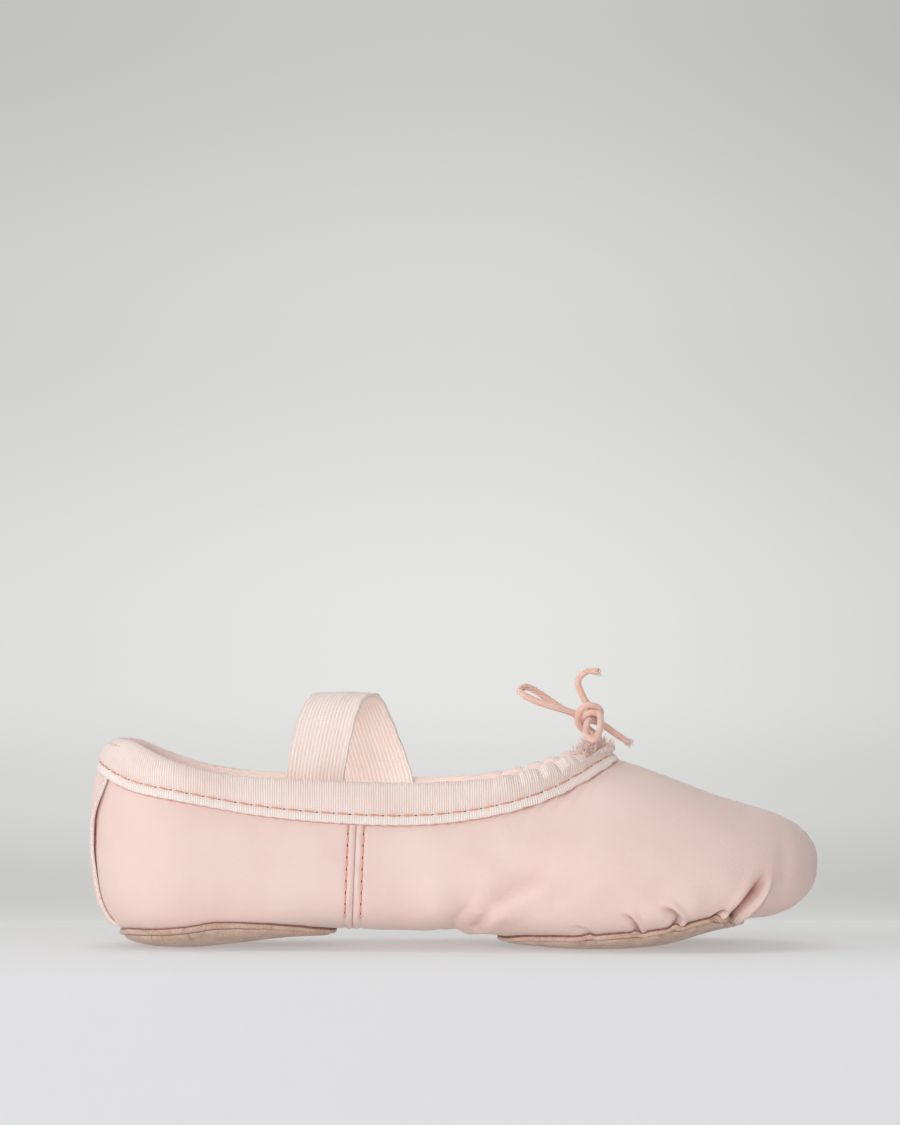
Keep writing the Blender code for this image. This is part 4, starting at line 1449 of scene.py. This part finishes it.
STRAP_ROUTE = [(-32.9, -15.0, 41.0), (-31.9, -15.0, 47.5), (-30.4, -13.8, 53.8), (-28.4, -9.0, 58.9)]
STRAP_ROUTE += [(-25.9, 0.0, 60.2), (-24.4, 8.2, 59.1), (-22.5, 13.4, 54.0), (-20.3, 15.0, 47.5)]
STRAP_ROUTE += [(-18.3, 15.0, 41.0)]
STRAP_TABS = [(-33.3, -18.0, 26.6), (-33.1, -16.0, 34.0)], [(-17.2, 16.0, 34.0), (-17.0, 18.0, 26.6)]
STRAP_WIDE_RIGHT = 13.3
STRAP_WIDE_LEFT = 17.0


def strap_grid():
    """The band's middle surface, which turns to lie across its own run at the crest."""
    path, length = eased(STRAP_TABS[0] + STRAP_ROUTE + STRAP_TABS[1], 131)
    run = np.array((STRAP_ROUTE[-1][0] - STRAP_ROUTE[0][0], 30.0, 0.0))
    across_top = np.cross(unit(run), (0, 0, 1))
    level = np.clip((path[:, 2] - 41.0) / 19.2, 0, 1)[:, None] ** 1.4
    cross = (1 - level) * np.array((1.0, 0.0, 0.0)) + level * across_top
    cross = unit(cross)
    out = unit(np.cross(cross, unit(np.gradient(path, axis=0))))
    wide = np.linspace(STRAP_WIDE_RIGHT, STRAP_WIDE_LEFT, len(path)) / 2
    columns = []
    for share in np.linspace(-1, 1, 33):
        cup = 0.25 * (1 - share**2) + 0.08 * np.cos(share * 5.0)
        edge = wide * (1 + 0.008 * np.sin(np.arange(len(path)) * 0.7 + share))
        columns.append(path + cross * (share * edge[:, None]) + out * cup)
    grid = np.array(columns)
    return grid + 0.25 * fuzz(grid, 9.0, 6)[..., None] * out[None], length


strap_points, STRAP_LONG = strap_grid()
strap = grid_object("elastic_strap", strap_points)
thicken(strap, STRAP_THICK, 0.0)
edge_round = strap.modifiers.new("round_edge", "BEVEL")
edge_round.width = 0.28 * MM
edge_round.segments = 2
edge_round.limit_method = "ANGLE"
paint(strap, ELASTIC_LOOK)
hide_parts("strap", "strap_end_left", "strap_end_right")
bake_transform(strap)

# ---------------------------------------------------------------- the drawstring's bow

# The right cord rings the knot, goes out to the rear loop and back, and ends standing up.
RIGHT_CORD = [(34.6, -3.4, 49.9), (34.0, -2.6, 50.7), (33.3, -1.5, 51.4), (31.6, -1.2, 51.9)]
RIGHT_CORD += [(30.2, -1.6, 53.2), (29.9, -2.2, 55.2), (30.8, -2.6, 57.0), (32.7, -2.6, 57.8)]
RIGHT_CORD += [(34.7, -1.9, 57.2), (35.4, -0.2, 55.8), (34.2, 1.7, 54.6), (31.9, 2.0, 54.8)]
RIGHT_CORD += [(29.5, 1.3, 55.6), (26.6, 2.0, 56.7), (24.4, 2.6, 58.1), (21.6, 2.8, 60.0)]
RIGHT_CORD += [(18.9, 2.0, 61.7), (16.9, 0.6, 62.1), (16.0, -0.9, 61.3), (17.6, -2.2, 59.9)]
RIGHT_CORD += [(21.0, -2.6, 58.4), (25.2, -2.3, 57.1), (29.3, -1.0, 55.6), (31.4, -0.2, 54.8)]
RIGHT_CORD += [(33.0, 0.3, 56.0), (32.8, 0.5, 57.4), (32.0, 0.6, 58.5), (30.7, 1.2, 61.0)]
RIGHT_CORD += [(30.0, 1.4, 63.0), (30.8, 1.2, 64.9), (32.4, 0.9, 65.9), (34.7, 0.7, 65.8)]
# The left cord comes up inside that ring, out to the front loop and back, and ends pointing forward.
LEFT_CORD = [(34.6, 3.4, 49.9), (34.0, 2.6, 50.7), (33.3, 1.5, 51.4), (31.9, 0.6, 52.6)]
LEFT_CORD += [(31.2, -1.0, 54.0), (31.6, -2.4, 55.3), (33.0, -3.0, 56.1), (34.4, -3.1, 55.9)]
LEFT_CORD += [(35.1, -4.6, 55.4), (35.2, -7.2, 53.7), (34.7, -9.6, 51.4)]
LEFT_CORD += [(33.4, -10.6, 49.8), (32.0, -10.0, 50.4), (31.7, -8.0, 52.2), (32.1, -5.4, 53.6)]
LEFT_CORD += [(32.7, -3.0, 54.2), (33.8, -0.6, 54.0), (35.4, 1.2, 53.4), (37.6, 2.2, 51.9)]
LEFT_CORD += [(39.6, 2.5, 50.5), (42.3, 2.8, 48.7)]


CORD_STEPS = 260


def bow_cord(name, route):
    """A free cord along its route, a little thinner and then thicker where its end is cut."""
    path, length = eased(route, CORD_STEPS)
    radius = np.full(len(path), CORD_THICK / 2)
    radius[-14:-7] *= np.linspace(1.0, 0.86, 7)
    radius[-7:] *= np.linspace(0.9, 1.16, 7)
    obj = paint(tube_object(name, path, radius, 16), CORD_LOOK)
    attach(obj, "bow")
    return obj


right_cord = bow_cord("bow_cord_right", RIGHT_CORD)
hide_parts("bow_stem_right", "bow_rear_loop", "bow_end_up", "bow_knot")
left_cord = bow_cord("bow_cord_left", LEFT_CORD)
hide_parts("bow_stem_left", "bow_front_loop", "bow_end_forward")


def tip_fibres(route, seed):
    """Fibres that splay out of a cord's cut end."""
    random = np.random.default_rng(seed)
    route_points, _ = eased(route, CORD_STEPS)
    ahead = unit(route_points[-1] - route_points[-6])
    side = unit(np.cross(ahead, (0.0, 1.0, 0.0)))
    other = np.cross(ahead, side)
    strands = []
    for _ in range(46):
        turn = random.uniform(0, 2 * math.pi)
        outward = math.cos(turn) * side + math.sin(turn) * other
        reach = random.uniform(0, 1) ** 0.5
        start = route_points[-1] - ahead * 0.5 + outward * reach * 0.85
        along = np.linspace(0, random.uniform(0.7, 1.5), 5)[:, None]
        lean = ahead + outward * reach * random.uniform(0.1, 0.7)
        path = start + lean * along + random.normal(0, 0.12, 3) * along**2
        strands.append((path, random.uniform(0.07, 0.11)))
    return strands


for fibres, route, seed in (("fibres_up", RIGHT_CORD, 21), ("fibres_forward", LEFT_CORD, 22)):
    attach(strands_object(fibres, tip_fibres(route, seed), CORD_LOOK), "bow")

# ---------------------------------------------------------------- the room, the light and the camera

CAMERA_AWAY = 1.353
CAMERA_HIGH = 0.0921
CAMERA_X = -0.0008
FLOOR_BACK = 95.0
SWEEP_ROUND = 330.0
BLACK = (0, 0, 0, 1)
# The shares of the floor's tone that it gives out itself (painted light, which lifts the shadows on it) and
# that the lamps light.
PAPER_GLOW = 0.36
PAPER_LIT = 0.56
ROOM_RADIUS = 2400.0
ROOM_ROUND = 500.0
# The paper's tone seen from the camera, painted with the light's fall-off and shade up the backdrop, by the
# height in millimetres at which a point seems to stand.
PAPER_LIGHT_BY_HEIGHT = [(-8, 3, "d4d4d3"), (3, 12, "cfcfcd"), (13, 36, "dcdcda"), (36, 62, "e5e5e3")]
PAPER_LIGHT_BY_HEIGHT += [(78, 150, "d8d8d6"), (150, 226, "c8c8c6")]
# Painted shade: how much darker the paper is to the left and to the right of the camera's middle, with the
# slipper's soft shadow on the right.
PAPER_SIDE_SHADE = ((-1, 0.09), (1, 0.17))


def paper_painted_light_and_floor(look):
    """The painted light and shade that the far paper shows, and the lit floor's colour, which is paler in
    front and darker towards the back.
    """
    x, y, z = look.place()
    away = look.math("MAXIMUM", look.math("ADD", y, CAMERA_AWAY), 0.5)
    nearer = look.math("DIVIDE", CAMERA_AWAY, away)
    lifted = look.math("SUBTRACT", z, CAMERA_HIGH)
    high = look.math("MULTIPLY_ADD", lifted, nearer, CAMERA_HIGH)
    along = look.math("MULTIPLY", x, nearer)
    tone = srgb("dcdcde")
    # Painted light and shade up the far paper, by the height at which a point seems to stand.
    for start, end, colour in PAPER_LIGHT_BY_HEIGHT:
        tone = look.mix(look.ramp(high, start * MM, end * MM), tone, srgb(colour))
    wall = look.ramp(high, 2 * MM, 14 * MM)
    # Painted shade on the far paper's sides, darkest to the right where the slipper's shadow falls.
    for side, share in PAPER_SIDE_SHADE:
        aside = look.math("MULTIPLY", look.ramp(along, side * 5 * MM, side * 150 * MM), wall)
        tone = look.mix(look.math("MULTIPLY", aside, share), tone, srgb("2a2a2a"))
    floor = look.mix(look.ramp(y, -130 * MM, 110 * MM), srgb("f8f8fa"), srgb("e5e5e3"))
    return tone, floor


def lit_paper():
    """Paper lit by the lamps round the slipper that also glows with a share of its colour as painted light,
    and that turns into paper glowing with the far paper's painted light and shade further off.
    """
    look = Look("pale_paper", 0.95, specular=0.1)
    far_painted_light, floor = paper_painted_light_and_floor(look)
    x, y, _ = look.place()
    reach = look.math("SQRT", look.math("MULTIPLY_ADD", x, x, look.math("MULTIPLY", y, y)))
    far = look.math("MAXIMUM", look.ramp(y, 25 * MM, 90 * MM), look.ramp(reach, 0.5, 1.1))
    look.colour(look.mix(far, look.mix(1 - PAPER_LIT, floor, BLACK), BLACK))
    # Painted light: near the slipper the floor glows with a share of its colour, which lifts the slipper's
    # shadows.
    own = look.mix(PAPER_GLOW, BLACK, floor)
    look.shine(look.mix(far, own, far_painted_light))
    return look.material


def far_paper():
    """Paper that glows with its painted light and shade whatever the lamps."""
    look = Look("far_paper", 1.0, specular=0.0)
    look.colour(BLACK)
    look.shine(paper_painted_light_and_floor(look)[0])
    return look.material


def floor_and_bounce():
    """The floor on show, and a curved card behind the slipper that only throws light back on it."""
    floor_points = [(x, y, 0) for y in (-1500, FLOOR_BACK) for x in (-1500, 1500)]
    floor = mesh_object("floor", floor_points, [(0, 1, 3, 2)])
    floor.data.materials.append(lit_paper())
    profile = [(FLOOR_BACK, 0.0)]
    for turn in np.linspace(0, math.pi / 2, 33)[1:]:
        profile.append((FLOOR_BACK + SWEEP_ROUND * math.sin(turn), SWEEP_ROUND * (1 - math.cos(turn))))
    profile.append((FLOOR_BACK + SWEEP_ROUND, 2500.0))
    points = [(x, y, z) for y, z in profile for x in (-2500, 2500)]
    faces = [(2 * i, 2 * i + 1, 2 * i + 3, 2 * i + 2) for i in range(len(profile) - 1)]
    card = mesh_object("bounce_card", points, faces)
    card.data.materials.append(plain_look("card", "e4e4e2", "e6e6e4"))
    card.visible_camera = False


def room():
    """A round room of paper glowing with painted light and shade, for the camera alone, so that the slipper
    can be seen from any side.
    """
    profile = [(0.0, -0.4), (ROOM_RADIUS, -0.4)]
    for turn in np.linspace(0, math.pi / 2, 17)[1:]:
        profile.append((ROOM_RADIUS + ROOM_ROUND * math.sin(turn), ROOM_ROUND * (1 - math.cos(turn))))
    profile.append((ROOM_RADIUS + ROOM_ROUND, 6000.0))
    turns = np.linspace(0, 2 * math.pi, 97)
    grid = np.array([[(r * math.cos(t), r * math.sin(t), z) for r, z in profile] for t in turns])
    obj = grid_object("room", grid)
    obj.data.materials.append(far_paper())
    obj.visible_diffuse = obj.visible_glossy = obj.visible_transmission = obj.visible_shadow = False


def area_light(name, place, target, size, power, colour):
    data = bpy.data.lights.new(name, "AREA")
    data.shape = "RECTANGLE"
    data.size, data.size_y = size
    data.energy = power
    data.color = colour
    obj = bpy.data.objects.new(name, data)
    bpy.context.scene.collection.objects.link(obj)
    obj.location = place
    obj.rotation_euler = (Vector(target) - Vector(place)).to_track_quat("-Z", "Y").to_euler()
    return obj


floor_and_bounce()
room()
area_light("front", (-0.3, -1.9, 0.42), (0, 0, 0.03), (1.8, 0.7), 22.0, (1.0, 0.995, 0.985))
area_light("side", (-1.3, -0.35, 0.5), (0, 0, 0.03), (0.8, 0.8), 5.8, (1.0, 0.99, 0.98))
area_light("top", (0.0, 0.1, 1.5), (0, 0, 0), (1.4, 1.2), 8.8, (0.98, 0.99, 1.0))
# A small fill inside the opening lights the strap's far leg from within.
FILL_AT, FILL_TO = (-0.021, -0.006, 0.034), (-0.019, 0.016, 0.052)
fill = area_light("fill", FILL_AT, FILL_TO, (0.05, 0.02), 0.0041, (0.97, 1.0, 1.0))
fill.visible_camera = False

world = bpy.data.worlds.new("soft_room")
bpy.context.scene.world = world
world.use_nodes = True
world.node_tree.nodes["Background"].inputs["Color"].default_value = (0.93, 0.95, 1.0, 1)
world.node_tree.nodes["Background"].inputs["Strength"].default_value = 0.1

camera_data = bpy.data.cameras.new("camera")
camera_data.lens = 180.0
camera_data.sensor_width = 36.0
camera_data.clip_end = 50.0
camera = bpy.data.objects.new("camera", camera_data)
bpy.context.scene.collection.objects.link(camera)
camera.location = (CAMERA_X, -CAMERA_AWAY, CAMERA_HIGH)
camera.rotation_euler = (math.pi / 2, 0, 0)
bpy.context.scene.camera = camera
bpy.context.scene.view_settings.view_transform = "Standard"
